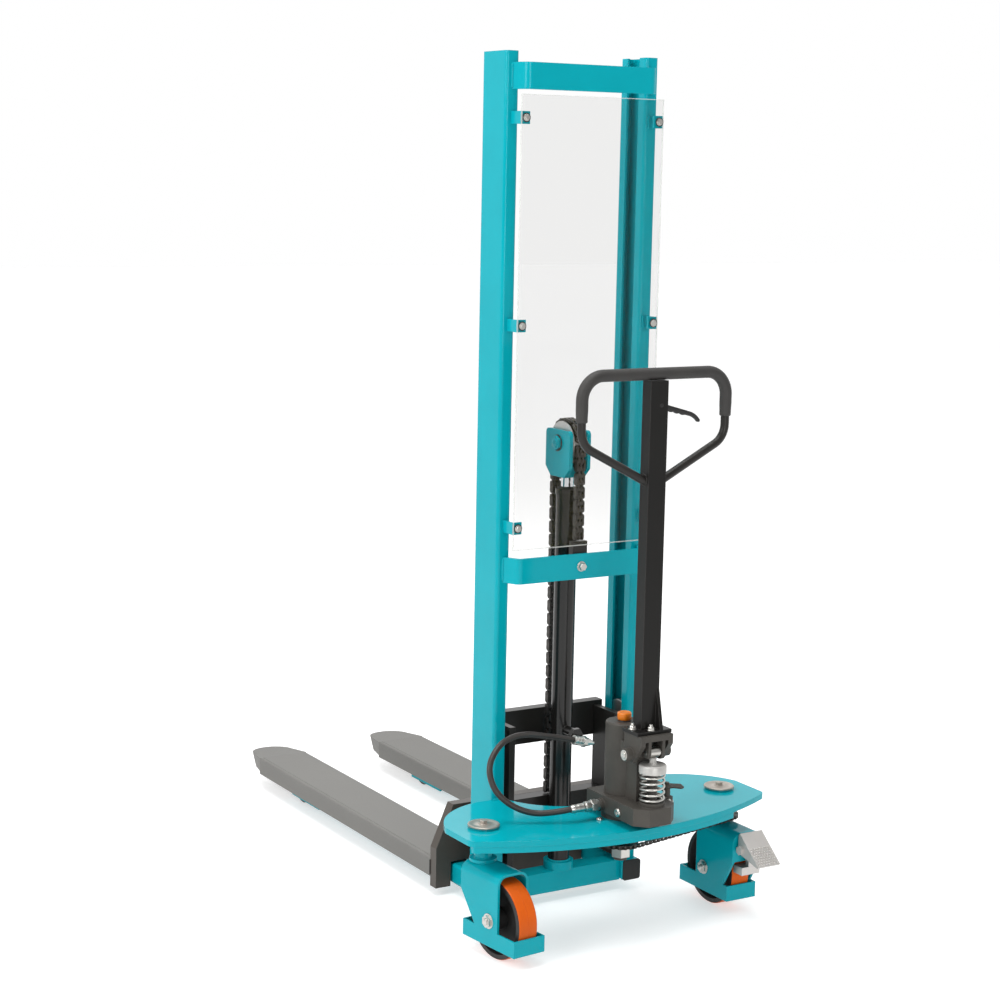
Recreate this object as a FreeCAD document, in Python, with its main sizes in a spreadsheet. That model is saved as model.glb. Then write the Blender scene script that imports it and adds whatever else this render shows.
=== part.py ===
import FreeCAD, Part
import math
import os
import re
import Sketcher
from FreeCAD import Placement, Rotation, Vector

# Hand pallet stacker: a fixed mast on two straddle legs, a fork carriage that a hydraulic
# cylinder lifts over a chain pulley, and a hand pump that turns with the tiller on a base plate.
# The frame: +Z up, +Y towards the fork tips, +X to the operator's right, origin on the floor
# under the middle of the part's box. Sizes are in millimetres, angles in degrees.

SIZES = {
    # clearances that all pieces share
    "fit_gap": 0.05,
    "slide_gap": 0.3,
    "roll_gap": 0.4,
    "overrun": 20,
    # mast rails, lipped channels that open towards each other
    "mast_height": 1980,
    "mast_half": 204,
    "rail_width": 34,
    "rail_depth": 104,
    "rail_wall": 6,
    "rail_lip": 28,
    "rail_corner": 8,
    # bent straps across the back of the mast
    "bar_bulge": 40,
    "bar_wall": 8,
    "bar_height": 59,
    "bar_end_half": 189,
    "bar_bend_half": 170,
    "bar_corner": 16,
    "top_bar_drop": 84,
    "middle_bar_floor": 788,
    # clear screen and its clips
    "screen_half": 190,
    "screen_floor": 868,
    "screen_drop": 95,
    "screen_wall": 4,
    "screen_set": 42,
    "clip_wall": 4,
    "clip_height": 28,
    "clip_reach": 24,
    "bolt_half": 8,
    "bolt_head": 5,
    # straddle legs and load rollers
    "leg_size": 50,
    "leg_wall": 5,
    "leg_corner": 7,
    "leg_clear": 25,
    "leg_back": 8,
    "leg_end": 940,
    "cap_wall": 4,
    "cap_plug": 18,
    "roller_ahead": 60,
    "roller_radius": 38,
    "roller_width": 46,
    "roller_axle": 10,
    "cheek_wall": 6,
    "cheek_lap": 60,
    "cheek_nose": 45,
    "cheek_drop": 13,
    # forks and heel plate
    "fork_width": 143,
    "fork_top": 88,
    "fork_height": 45,
    "fork_wall": 5,
    "fork_corner": 5,
    "fork_length": 1102,
    "nose_length": 125,
    "nose_drop": 8,
    "nose_set_back": 16,
    "nose_taper": 14,
    "heel_front": 192,
    "heel_wall": 28,
    "heel_top": 222,
    "heel_floor": 20,
    "heel_rise": 118,
    "heel_run": 45,
    "leg_gap": 6,
    # carriage
    "side_half": 140,
    "side_wall": 15,
    "side_back": 8,
    "side_front": 103,
    "side_floor": 90,
    "side_step": 215,
    "side_top": 440,
    "upper_bar_half": 165,
    "upper_bar_floor": 367,
    "upper_bar_height": 84,
    "upper_bar_wall": 28,
    "lower_bar_back": 62,
    "lower_bar_wall": 36,
    "lower_bar_floor": 190,
    "lower_bar_top": 245,
    "stub_radius": 12,
    "side_play": 1,
    "low_roller_height": 135,
    "high_roller_height": 415,
    # hydraulic cylinder, pulley head and lift chain
    "cylinder_set": 28,
    "cylinder_radius": 25.5,
    "cylinder_floor": 95,
    "cylinder_top": 978,
    "gland_radius": 28,
    "gland_height": 13,
    "foot_radius": 36,
    "rod_radius": 15,
    "cylinder_sole": 23,
    "port_height": 415,
    "port_radius": 13,
    "port_reach": 55,
    "rod_show": 29,
    "yoke_height": 110,
    "yoke_half": 51,
    "yoke_gap": 20,
    "yoke_wall": 9,
    "yoke_base": 24,
    "yoke_chamfer": 22,
    "pulley_rise": 79,
    "pulley_groove": 42.5,
    "pulley_flange": 50,
    "pulley_half": 18,
    "groove_half": 13,
    "pulley_pin": 12,
    "pin_head": 17,
    "pin_head_height": 8,
    "chain_pitch": 15.875,
    "chain_plate": 14.5,
    "chain_half": 11,
    "chain_inner_half": 6,
    "chain_circle": 51,
    "chain_end_gap": 1.5,
    "anchor_half": 20,
    "anchor_floor": 796,
    "anchor_top": 875,
    # base plate with the caster housings
    "plate_top": 275,
    "plate_wall": 13,
    "plate_half": 402,
    "plate_rear": 345,
    "plate_front": 40,
    "plate_rear_radius": 830,
    "shoulder_radius": 194,
    "shoulder_inset": 185,
    "shoulder_set": 188,
    "plate_corner": 24,
    "well_radius": 177,
    "well_depth": 135,
    "skirt_inset": 1,
    "skirt_left": 396,
    "skirt_right": 268,
    "skirt_wall": 8,
    "skirt_height": 14,
    "housing_radius": 27,
    "housing_height": 37,
    "pivot_boss": 30,
    "seat_radius": 33,
    "seat_height": 4,
    # casters
    "caster_half": 325,
    "caster_set": 165,
    "stem_radius": 20,
    "neck_radius": 31,
    "neck_height": 7,
    "disc_radius": 36,
    "disc_wall": 5,
    "disc_bolt": 9,
    "disc_bolt_height": 8,
    "wheel_radius": 90,
    "wheel_half": 25,
    "tread": 5,
    "rim_wall": 14,
    "hub_radius": 24,
    "hub_half": 33,
    "web_half": 7,
    "wheel_axle": 10,
    "axle_head": 14,
    "axle_head_height": 8,
    "yoke_crown": 200,
    "yoke_half_width": 42,
    "yoke_plate": 6,
    "yoke_bend": 24,
    "yoke_front": 24,
    "guard_half": 94,
    "guard_floor": 32,
    "guard_top": 69,
    "guard_wall": 4,
    "left_trail": 80,
    "left_yoke_rear": 112,
    "left_slope_top": 138,
    "left_slope_run": 52,
    "left_caster_angle": 6,
    "right_trail": 6,
    "right_yoke_rear": 117,
    "right_slope_top": 130,
    "right_slope_run": 35,
    # brake on the right caster
    "rear_plate_floor": 132,
    "brake_set": 134,
    "brake_height": 166,
    "brake_pin": 7,
    "brake_hub": 11,
    "brake_nut": 11,
    "brake_nut_height": 6,
    "ear_half": 16,
    "ear_wall": 6,
    "ear_nose": 11,
    "pedal_half": 32,
    "pedal_wall": 5,
    "pedal_upper_set": 125,
    "pedal_upper": 201,
    "pedal_lower_set": 198,
    "pedal_lower": 140,
    "arm_half": 7,
    "arm_gap": 5,
    "arm_wall": 12,
    "shoe_gap": 6,
    "shoe_half": 26,
    "shoe_floor": 103,
    "shoe_height": 19,
    # steering sprockets and chain
    "sprocket_floor": 208,
    "sprocket_wall": 8,
    "sprocket_radius": 40,
    "sprocket_notch": 4,
    "steer_chain_wall": 9,
    "steer_chain_height": 9,
    # hand pump
    "pump_set": 232,
    "king_radius": 15,
    "king_floor": 172,
    "nut_radius": 23,
    "nut_height": 20,
    "block_half": 55,
    "block_front": 62,
    "block_rear": 150,
    "block_height": 55,
    "block_chamfer": 26,
    "block_lift": 16,
    "block_seat": 47,
    "reservoir_radius": 42,
    "reservoir_height": 166,
    "reservoir_corner": 4,
    "filler_radius": 17,
    "filler_height": 20,
    "filler_neck": 13,
    "filler_neck_height": 3,
    "pin_set": 320,
    "pin_height": 445,
    "pin_radius": 8,
    "pin_half": 62,
    "lug_half": 29,
    "lug_radius": 16,
    "rib_half": 18,
    "rib_rear": 80,
    "bracket_half": 43,
    "bracket_wall": 12,
    "bracket_front": 24,
    "bracket_rear": 42,
    "bracket_drop": 18,
    "bracket_rise": 47,
    "bracket_top_wall": 13,
    "boss_radius": 15,
    "boss_reach": 58,
    "arm_fall": 22,
    "prong_wall": 7,
    "lug_play": 2,
    "cam_set": 28,
    "cam_rise": 7,
    "cam_radius": 11,
    "cam_half": 14,
    "cam_pin": 6,
    "plunger_radius": 12,
    "plunger_seat": 8,
    "plunger_tip": 8,
    "plunger_bore_depth": 42,
    "spring_wire": 6,
    "spring_radius": 26,
    "spring_height": 74,
    "collar_radius": 28.5,
    "collar_height": 9,
    "cap_radius": 31,
    "cap_height": 20,
    "cap_chamfer": 4,
    "valve_across": 72,
    "valve_back": 72,
    "valve_lug_half": 10,
    "valve_lug_height": 22,
    "valve_post": 8,
    "valve_rise": 18,
    "valve_reach": 22,
    "valve_width": 14,
    "valve_wall": 8,
    "valve_pin": 5,
    "port_boss": 14,
    "port_boss_height": 10,
    "fitting_radius": 11,
    "fitting_length": 34,
    # tiller
    "column_set": 315,
    "column_half": 23,
    "column_depth": 32,
    "column_wall": 3,
    "flange_wall": 8,
    "flange_half": 46,
    "flange_front": 24,
    "flange_rear": 36,
    "gusset_height": 90,
    "gusset_wall": 8,
    "loop_half": 190,
    "loop_top": 1289,
    "loop_tube": 9.5,
    "loop_joint": 1056,
    "loop_knee": 1142,
    "loop_top_bend": 52,
    "loop_knee_bend": 48,
    "grip_radius": 13.5,
    "grip_end": 1190,
    "lever_height": 1221,
    "lever_pivot": 6,
    "lever_pin": 4,
    "lever_hub": 8,
    "lever_wall": 10,
    "lever_reach": 112,
    "lever_drop": 26,
    "lever_depth": 14,
    "lever_hook": 16,
    "finger_radius": 12,
    "finger_depth": 3,
    "slot_play": 4,
    # hydraulic hose
    "hose_radius": 7,
}

# Counts and shares, which don't scale with the part.
HEX_SIDES = 6
SPROCKET_TEETH = 20
SPRING_TURNS = 4.5
SPRING_SPOTS = 360
TURN_PARTS = 4
CLIP_HEIGHT_SHARES = (0.05, 0.5, 0.95)
CHAIN_END_SHARE = 0.5
ANCHOR_BOLT_SHARE = 1.5
PORT_NUT_SHARE = 1.3
ROLLER_EDGE_SHARE = 0.08
TREAD_EDGE_SHARE = 0.33
DIAGONAL_SHARE = 0.7071
LOOP_SINK_SHARE = 0.3
NOSE_SHOULDER_SHARE = 0.55
LEVER_BEND_SHARE = 0.72
FINGER_SHARES = (0.26, 0.45, 0.64)
CORD_BEND_SHARE = 0.45
PORT_SHARE = 0.6

# Route of the hydraulic hose behind the mast, from the cylinder's port to the pump's side port,
# measured from the middle of the mast's rear face at floor level.
HOSE_ROUTE = [
    (-17, -34, 416),
    (-62, -46, 424),
    (-112, -57, 442),
    (-163, -75, 451),
    (-212, -91, 455),
    (-258, -110, 440),
    (-287, -130, 401),
    (-287, -150, 352),
    (-258, -170, 312),
    (-213, -192, 297),
    (-172, -213, 299),
    (-136, -230, 307),
    (-99.8, -232, 308.3),
]

# Heights and places that several pieces share.
RAIL_MID = "(mast_half - rail_width / 2)"
TOP_BAR_FLOOR = "(mast_height - top_bar_drop)"
SCREEN_HEIGHT = "(mast_height - screen_drop - screen_floor)"
BORE_FLOOR = "(cylinder_floor + cylinder_sole)"
YOKE_FLOOR = "(cylinder_top + gland_height + rod_show)"
YOKE_TOP = "(cylinder_top + gland_height + rod_show + yoke_height)"
PULLEY_HEIGHT = "(cylinder_top + gland_height + rod_show + pulley_rise)"
LEG_TOP = "(leg_clear + leg_size)"
ROLLER_PLACE = "(leg_end + roller_ahead)"
PLATE_UNDER = "(plate_top - plate_wall)"
SHOULDER_ACROSS = "(plate_half - shoulder_inset)"
HOUSING_FLOOR = "(plate_top - plate_wall - housing_height)"
BLOCK_FLOOR = "(plate_top + slide_gap)"
BLOCK_TOP = "(plate_top + slide_gap + block_height)"
RESERVOIR_TOP = "(plate_top + slide_gap + block_height + reservoir_height)"
CAM_SET = "(pin_set + cam_set)"
CAP_FLOOR = "(plate_top + 2 * slide_gap + block_height + spring_height)"
PLUNGER_TOP = "(pin_height + cam_rise - cam_radius - slide_gap)"
COLUMN_FLOOR = "(pin_height + bracket_rise)"
MAST_LINE = "((pump_set + block_rear - heel_front - fork_length) / 2)"

doc = FreeCAD.newDocument("hand_stacker")
sheet = doc.addObject("Spreadsheet::Sheet", "sizes")
for row, (size_name, size_value) in enumerate(SIZES.items(), start=1):
    sheet.set(f"A{row}", size_name)
    sheet.set(f"B{row}", str(size_value))
    sheet.setAlias(f"B{row}", size_name)
doc.recompute()

probe = doc.addObject("App::FeaturePython", "probe")
probe.addProperty("App::PropertyFloat", "reading")

SIZE_WORD = re.compile(r"\b[a-z][a-z0-9_]+\b(?!\()")
ALONG = {"x": Rotation(Vector(0, 0, 1), Vector(1, 0, 0)),
         "y": Rotation(Vector(0, 0, 1), Vector(0, 1, 0)),
         "z": Rotation()}
nodes = []


def bind(item, path, formula):
    """Tie one property of an object to a formula in the sheet's names."""
    item.setExpression(path, SIZE_WORD.sub(lambda word: "sizes." + word.group(0), str(formula)))


def measure(formula):
    """The present value of a formula in the sheet's names."""
    bind(probe, "reading", formula)
    probe.recompute()
    return probe.reading


def seat(item, x="0", y="0", z="0"):
    """Tie the place of an object to three formulas."""
    for axis, formula in zip("xyz", (x, y, z)):
        bind(item, f"Placement.Base.{axis}", formula)
    return item


def box(name, corner, sides):
    """A block from its lowest corner and its three sides."""
    item = doc.addObject("Part::Box", name)
    for side, formula in zip(("Length", "Width", "Height"), sides):
        bind(item, side, formula)
    return seat(item, *corner)


def rod(name, radius, length, start, axis="z"):
    """A round bar from the middle of its first end, along x, y or z."""
    item = doc.addObject("Part::Cylinder", name)
    item.Placement.Rotation = ALONG[axis]
    bind(item, "Radius", radius)
    bind(item, "Height", length)
    return seat(item, *start)


def hexagon(name, radius, length, start, axis="z"):
    """A six-sided bar from the middle of its first end, along x, y or z."""
    item = doc.addObject("Part::Prism", name)
    item.Placement.Rotation = ALONG[axis]
    item.Polygon = HEX_SIDES
    bind(item, "Circumradius", radius)
    bind(item, "Height", length)
    return seat(item, *start)


def join(name, *pieces):
    item = doc.addObject("Part::MultiFuse", name)
    item.Shapes = list(pieces)
    item.Refine = True
    return item


def cut(name, base, *tools):
    item = doc.addObject("Part::Cut", name)
    item.Base = base
    item.Tool = tools[0] if len(tools) == 1 else join(name + "_tools", *tools)
    item.Refine = True
    return item


def overlap(name, *pieces):
    item = doc.addObject("Part::MultiCommon", name)
    item.Shapes = list(pieces)
    return item


def group(name, *pieces):
    """Separate solids that share one node."""
    item = doc.addObject("Part::Compound", name)
    item.Links = list(pieces)
    return item


def mirrored(name, piece):
    """The same piece on the other side of the middle plane."""
    item = doc.addObject("Part::Mirroring", name)
    item.Source = piece
    item.Normal = Vector(1, 0, 0)
    return item


def drawing(body, role, outlines):
    """A sketch on an origin plane, with every corner tied to two formulas."""
    plane = next(item for item in body.Origin.OriginFeatures if item.Role == role)
    sketch = body.newObject("Sketcher::SketchObject", body.Name + "_outline")
    sketch.AttachmentSupport = [(plane, "")]
    sketch.MapMode = "FlatFace"
    for corners in outlines:
        first = sketch.GeometryCount
        count = len(corners)
        spots = [Vector(measure(across), measure(up), 0) for across, up in corners]
        for place, spot in enumerate(spots):
            sketch.addGeometry(Part.LineSegment(spot, spots[(place + 1) % count]))
        for place in range(count):
            following = first + (place + 1) % count
            sketch.addConstraint(Sketcher.Constraint("Coincident", first + place, 2, following, 1))
        for place, (corner, spot) in enumerate(zip(corners, spots)):
            for kind, formula, value in zip(("DistanceX", "DistanceY"), corner, spot):
                number = sketch.addConstraint(Sketcher.Constraint(kind, first + place, 1, value))
                bind(sketch, f"Constraints[{number}]", formula)
    return sketch


def new_body(name):
    return doc.addObject("PartDesign::Body", name)


def pad(name, role, length, *outlines, middle=False):
    """A body made by padding outlines away from an origin plane, towards +X, +Y or +Z."""
    body = new_body(name)
    feature = body.newObject("PartDesign::Pad", name + "_pad")
    feature.Profile = drawing(body, role, outlines)
    bind(feature, "Length", length)
    feature.Midplane = middle
    feature.Reversed = role == "XZ_Plane" and not middle
    doc.recompute()
    return body


def turned(name, profile):
    """A body of revolution about the X axis, from corners given as (along x, radius)."""
    body = new_body(name)
    sketch = drawing(body, "XY_Plane", [profile])
    feature = body.newObject("PartDesign::Revolution", name + "_turn")
    feature.Profile = sketch
    feature.ReferenceAxis = (sketch, ["H_Axis"])
    doc.recompute()
    return body


def soften(body, radius, chosen):
    """Round the edges of a body whose middle points are chosen."""
    base = body.Tip
    edges = [f"Edge{number}" for number, edge in enumerate(base.Shape.Edges, start=1)
             if chosen(edge.CenterOfMass, edge)]
    if not edges:
        raise RuntimeError(f"{body.Name}: no edge to round")
    feature = body.newObject("PartDesign::Fillet", body.Name + "_round")
    feature.Base = (base, edges)
    bind(feature, "Radius", radius)
    doc.recompute()
    return body


def straight(edge, direction):
    """Whether an edge is a line along a direction."""
    if not isinstance(edge.Curve, Part.Line):
        return False
    return edge.Curve.Direction.cross(direction).Length < 0.01


def near(value, formula):
    return abs(value - measure(formula)) < measure("slide_gap")


def eased(name, item, radius, chosen):
    """Round the edges of a plain solid whose middle points are chosen."""
    doc.recompute()
    rounded = doc.addObject("Part::Fillet", name)
    rounded.Base = item
    size = measure(radius)
    rounded.Edges = [(number, size, size) for number, edge in enumerate(item.Shape.Edges, start=1)
                     if chosen(edge.CenterOfMass, edge)]
    return rounded


def shaped(name, shape):
    """A sub-part whose shape is worked out below, from the sheet's values."""
    item = doc.addObject("Part::Feature", name)
    item.Shape = shape
    return item


def keep(item, label, x="0", y="0", z="0", turn=None):
    """Make an object a node of the part, moved from the mast's frame to the part's own."""
    item.Label = label
    seat(item, x, f"{y} + {MAST_LINE}", z)
    if turn:
        bind(item, "Placement.Rotation.Angle", turn)
    nodes.append(item)


def mast_rail(label, side):
    """A lipped channel that stands on a leg and opens towards the middle."""
    outer = f"{side} * mast_half"
    web = f"{side} * (mast_half - rail_wall)"
    inner = f"{side} * (mast_half - rail_width)"
    lip = f"{side} * (mast_half - rail_width + rail_wall)"
    far = "rail_depth - rail_wall"
    body = pad(label + "_body", "XY_Plane", f"mast_height - {LEG_TOP}", [
        (outer, "0"), (outer, "rail_depth"), (inner, "rail_depth"), (inner, "rail_depth - rail_lip"),
        (lip, "rail_depth - rail_lip"), (lip, far), (web, far), (web, "rail_wall"),
        (lip, "rail_wall"), (lip, "rail_lip"), (inner, "rail_lip"), (inner, "0")])
    soften(body, "rail_corner", lambda spot, edge: straight(edge, Vector(0, 0, 1))
           and (near(spot.x, outer) or near(spot.x, inner))
           and (near(spot.y, "0") or near(spot.y, "rail_depth")))
    keep(body, label, z=LEG_TOP)


def crossbar(label, floor):
    """A flat strap, bent to stand out behind the mast and welded to both rails."""
    def corners(inset):
        end = f"bar_end_half - {inset} * bar_wall"
        bend = f"bar_bend_half - {inset} * bar_wall"
        back = f"{inset} * bar_wall - bar_bulge"
        return [(f"-({end})", "0"), (f"-({bend})", back), (bend, back), (end, "0")]
    body = pad(label + "_body", "XY_Plane", "bar_height", corners(0) + corners(1)[::-1])
    back_edges = ("-bar_bulge", "bar_wall - bar_bulge")
    for face, radius in zip(back_edges, ("bar_corner", "bar_corner - bar_wall")):
        soften(body, radius, lambda spot, edge: straight(edge, Vector(0, 0, 1)) and near(spot.y, face))
    keep(body, label, z=floor)


def screen():
    sheet_box = box("screen_box", ("-screen_half", "-screen_set - screen_wall", "screen_floor"),
                    ("2 * screen_half", "screen_wall", SCREEN_HEIGHT))
    keep(group("screen_group", sheet_box), "clear_screen")


def screen_clips():
    """Bent clips from the rails' rear faces to the screen, with their bolts."""
    clips = []
    bolts = []
    for share in CLIP_HEIGHT_SHARES:
        floor = f"screen_floor + {share} * {SCREEN_HEIGHT} - clip_height / 2"
        for side in (-1, 1):
            far_edge = f"{side} * screen_half"
            near_edge = f"{side} * (screen_half - clip_wall)"
            tab_edge = f"{side} * (screen_half - clip_reach)"
            foot_edge = f"{side} * (mast_half - rail_width + rail_corner)"
            clip = pad(f"clip_{len(clips)}", "XY_Plane", "clip_height", [
                (far_edge, "-screen_set"), (far_edge, "0"), (foot_edge, "0"), (foot_edge, "-clip_wall"),
                (near_edge, "-clip_wall"), (near_edge, "clip_wall - screen_set"),
                (tab_edge, "clip_wall - screen_set"), (tab_edge, "-screen_set")])
            seat(clip, z=floor)
            clips.append(clip)
            across = f"{side} * (screen_half - clip_reach / 2)"
            bolts.append(hexagon(f"screen_bolt_{len(bolts)}", "bolt_half", "bolt_head",
                                 (across, "-screen_set - screen_wall - bolt_head",
                                  f"{floor} + clip_height / 2"), "y"))
    keep(group("clip_group", *clips), "screen_clips")
    head = f"({ANCHOR_BOLT_SHARE} * bolt_head)"
    bolts.append(hexagon("anchor_bolt", f"{ANCHOR_BOLT_SHARE} * bolt_half", head,
                         ("0", f"-bar_bulge - {head}", "middle_bar_floor + bar_height / 2"), "y"))
    keep(group("bolt_group", *bolts), "mast_bolts")


def leg(label, side):
    """A square tube with cheeks for the load roller at its front end."""
    def square(half):
        return [(f"-({half})", f"-({half})"), (half, f"-({half})"), (half, half), (f"-({half})", half)]
    tube = pad(label + "_tube", "XZ_Plane", "leg_end + leg_back",
               square("leg_size / 2"), square("leg_size / 2 - leg_wall"))
    soften(tube, "leg_corner", lambda spot, edge: straight(edge, Vector(0, 1, 0))
           and near(abs(spot.x), "leg_size / 2"))
    seat(tube, y="-leg_back", z="leg_clear + leg_size / 2")
    cheeks = []
    for face in (-1, 1):
        inner = "leg_size / 2" if face > 0 else "-leg_size / 2 - cheek_wall"
        cheeks.append(box(f"{label}_cheek_{len(cheeks)}",
                          (inner, "leg_end - cheek_lap", "leg_clear - cheek_drop"),
                          ("cheek_wall", "roller_ahead + cheek_nose + cheek_lap",
                           "leg_size - leg_corner")))
    bore = rod(label + "_bore", "roller_axle + fit_gap", "leg_size + 2 * cheek_wall + 2 * overrun",
               ("-leg_size / 2 - cheek_wall - overrun", ROLLER_PLACE, "roller_radius"), "x")
    keep(cut(label + "_cut", join(label + "_join", tube, *cheeks), bore), label, x=f"{side} * {RAIL_MID}")


def leg_fittings():
    """End caps, load roller axles and the load rollers of both legs."""
    caps = []
    axles = []
    for side in (-1, 1):
        middle = f"{side} * {RAIL_MID}"
        plate = pad(f"cap_plate_{len(caps)}", "XZ_Plane", "cap_wall", [
            ("-leg_size / 2", "-leg_size / 2"), ("leg_size / 2", "-leg_size / 2"),
            ("leg_size / 2", "leg_size / 2"), ("-leg_size / 2", "leg_size / 2")])
        soften(plate, "leg_corner", lambda spot, edge: straight(edge, Vector(0, 1, 0)))
        seat(plate, middle, "-leg_back - cap_wall", "leg_clear + leg_size / 2")
        plug_half = "(leg_size / 2 - leg_wall - slide_gap)"
        plug = box(f"cap_plug_{len(caps)}",
                   (f"{middle} - {plug_half}", "-leg_back", f"leg_clear + leg_size / 2 - {plug_half}"),
                   (f"2 * {plug_half}", "cap_plug", f"2 * {plug_half}"))
        caps.append(join(f"cap_{len(caps)}", plate, plug))
        axles.append(rod(f"roller_axle_{len(axles)}", "roller_axle", "leg_size + 2 * cheek_wall",
                         (f"{middle} - leg_size / 2 - cheek_wall", ROLLER_PLACE, "roller_radius"), "x"))
    keep(group("cap_group", *caps), "leg_end_caps")
    keep(group("axle_group", *axles), "load_roller_axles")
    for label, side in (("left_load_roller", -1), ("right_load_roller", 1)):
        half = "roller_width / 2"
        edge = f"{ROLLER_EDGE_SHARE} * roller_radius"
        roller = turned(label + "_body", [
            (f"-{half}", "roller_axle + fit_gap"), (f"-{half}", f"roller_radius - {edge}"),
            (f"-{half} + {edge}", "roller_radius"), (f"{half} - {edge}", "roller_radius"),
            (half, f"roller_radius - {edge}"), (half, "roller_axle + fit_gap")])
        keep(roller, label, x=f"{side} * {RAIL_MID}", y=ROLLER_PLACE, z="roller_radius")


def cross_tube():
    """Square tube between the legs, with the cylinder's round foot on it."""
    span = f"2 * {RAIL_MID} - leg_size"
    start = f"leg_size / 2 - {RAIL_MID}"
    tube = box("cross_box", (start, "cylinder_set - leg_size / 2", "leg_clear"),
               (span, "leg_size", "leg_size"))
    hollow = box("cross_hollow", (start, "cylinder_set - leg_size / 2 + leg_wall", "leg_clear + leg_wall"),
                 (span, "leg_size - 2 * leg_wall", "leg_size - 2 * leg_wall"))
    foot = rod("cylinder_foot", "foot_radius", f"cylinder_floor - {LEG_TOP}", ("0", "cylinder_set", LEG_TOP))
    keep(join("cross_join", cut("cross_cut", tube, hollow), foot), "base_cross_tube")


def cylinder():
    """Lift cylinder with its gland, rod bore and rear port."""
    tube = rod("cylinder_barrel", "cylinder_radius", "cylinder_top - cylinder_floor",
               ("0", "cylinder_set", "cylinder_floor"))
    gland = rod("cylinder_gland", "gland_radius", "gland_height", ("0", "cylinder_set", "cylinder_top"))
    port = rod("cylinder_port", "port_radius", "port_reach",
               ("0", "cylinder_set - port_reach", "port_height"), "y")
    tip = hexagon("port_nut", f"{PORT_NUT_SHARE} * port_radius", "port_radius",
                  ("0", "cylinder_set - port_reach - port_radius", "port_height"), "y")
    bore = rod("rod_bore", "rod_radius + fit_gap", f"cylinder_top - {BORE_FLOOR} + gland_height + overrun",
               ("0", "cylinder_set", BORE_FLOOR))
    keep(cut("cylinder_cut", join("cylinder_join", tube, gland, port, tip), bore), "cylinder_tube")


def piston():
    """Piston rod with the pulley head that it carries."""
    bar = rod("rod_bar", "rod_radius", f"{YOKE_FLOOR} - {BORE_FLOOR} - slide_gap",
              ("0", "cylinder_set", f"{BORE_FLOOR} + slide_gap"))
    keep(group("rod_group", bar), "piston_rod")
    outer = "(yoke_gap + yoke_wall)"
    cheek_corners = [
        ("-yoke_half", f"{YOKE_FLOOR} + yoke_chamfer"), ("yoke_chamfer - yoke_half", YOKE_FLOOR),
        ("yoke_half - yoke_chamfer", YOKE_FLOOR), ("yoke_half", f"{YOKE_FLOOR} + yoke_chamfer"),
        ("yoke_half", YOKE_TOP), ("-yoke_half", YOKE_TOP)]
    cheeks = []
    for start in ("yoke_gap", f"-{outer}"):
        cheek = pad(f"yoke_cheek_{len(cheeks)}", "YZ_Plane", "yoke_wall", cheek_corners)
        soften(cheek, "yoke_chamfer / 2", lambda spot, edge: straight(edge, Vector(1, 0, 0))
               and near(spot.z, YOKE_TOP))
        seat(cheek, start, "cylinder_set", "0")
        cheeks.append(cheek)
    base = box("yoke_block", ("-yoke_gap", "cylinder_set - yoke_half + yoke_chamfer", YOKE_FLOOR),
               ("2 * yoke_gap", "2 * yoke_half - 2 * yoke_chamfer", "yoke_base"))
    bore = rod("yoke_bore", "pulley_pin + fit_gap", f"2 * {outer} + 2 * overrun",
               (f"-{outer} - overrun", "cylinder_set", PULLEY_HEIGHT), "x")
    keep(cut("yoke_cut", join("yoke_join", base, *cheeks), bore), "pulley_yoke")
    shank = rod("pin_shank", "pulley_pin", f"2 * {outer}",
                (f"-{outer}", "cylinder_set", PULLEY_HEIGHT), "x")
    heads = [hexagon(f"pin_head_{number}", "pin_head", "pin_head_height",
                     (start, "cylinder_set", PULLEY_HEIGHT), "x")
             for number, start in enumerate((outer, f"-{outer} - pin_head_height"))]
    keep(join("pin_join", shank, *heads), "pulley_pin")
    wheel = turned("pulley_body", [
        ("-pulley_half", "pulley_pin + fit_gap"), ("-pulley_half", "pulley_flange"),
        ("-groove_half - side_play", "pulley_flange"), ("-groove_half", "pulley_groove"),
        ("groove_half", "pulley_groove"), ("groove_half + side_play", "pulley_flange"),
        ("pulley_half", "pulley_flange"), ("pulley_half", "pulley_pin + fit_gap")])
    keep(wheel, "chain_pulley", y="cylinder_set", z=PULLEY_HEIGHT)


def link_plates(start, end, outer):
    """One link of leaf chain between two pins: a middle pack of plates or the two outer packs."""
    pitch = (end - start).Length
    half = measure("chain_plate") / 2
    width = measure("chain_half")
    inner = measure("chain_inner_half")
    bevel = half * CHAIN_END_SHARE
    along = (end - start).normalize()
    across = Vector(1, 0, 0).cross(along)
    reach = (pitch + measure("chain_pitch") - measure("slide_gap")) / 2 - pitch / 2
    spots = [(-reach, bevel), (-reach + bevel, half), (pitch + reach - bevel, half), (pitch + reach, bevel)]
    spots += [(run, -rise) for run, rise in reversed(spots)]
    packs = [(-inner, inner)]
    if outer:
        packs = [(-width, -inner - measure("fit_gap")), (inner + measure("fit_gap"), width)]
    solids = []
    for low, high in packs:
        corners = [start + along * run + across * rise + Vector(low, 0, 0) for run, rise in spots]
        face = Part.Face(Part.makePolygon(corners + corners[:1]))
        solids.append(face.extrude(Vector(high - low, 0, 0)))
    return solids


def strand(label, pins):
    """A stretch of the lift chain through its pins, with plates inside and outside by turns."""
    solids = []
    for number, (start, end) in enumerate(zip(pins, pins[1:])):
        solids += link_plates(start, end, number % 2 == 0)
    keep(shaped(label + "_links", Part.makeCompound(solids)), label)


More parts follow.
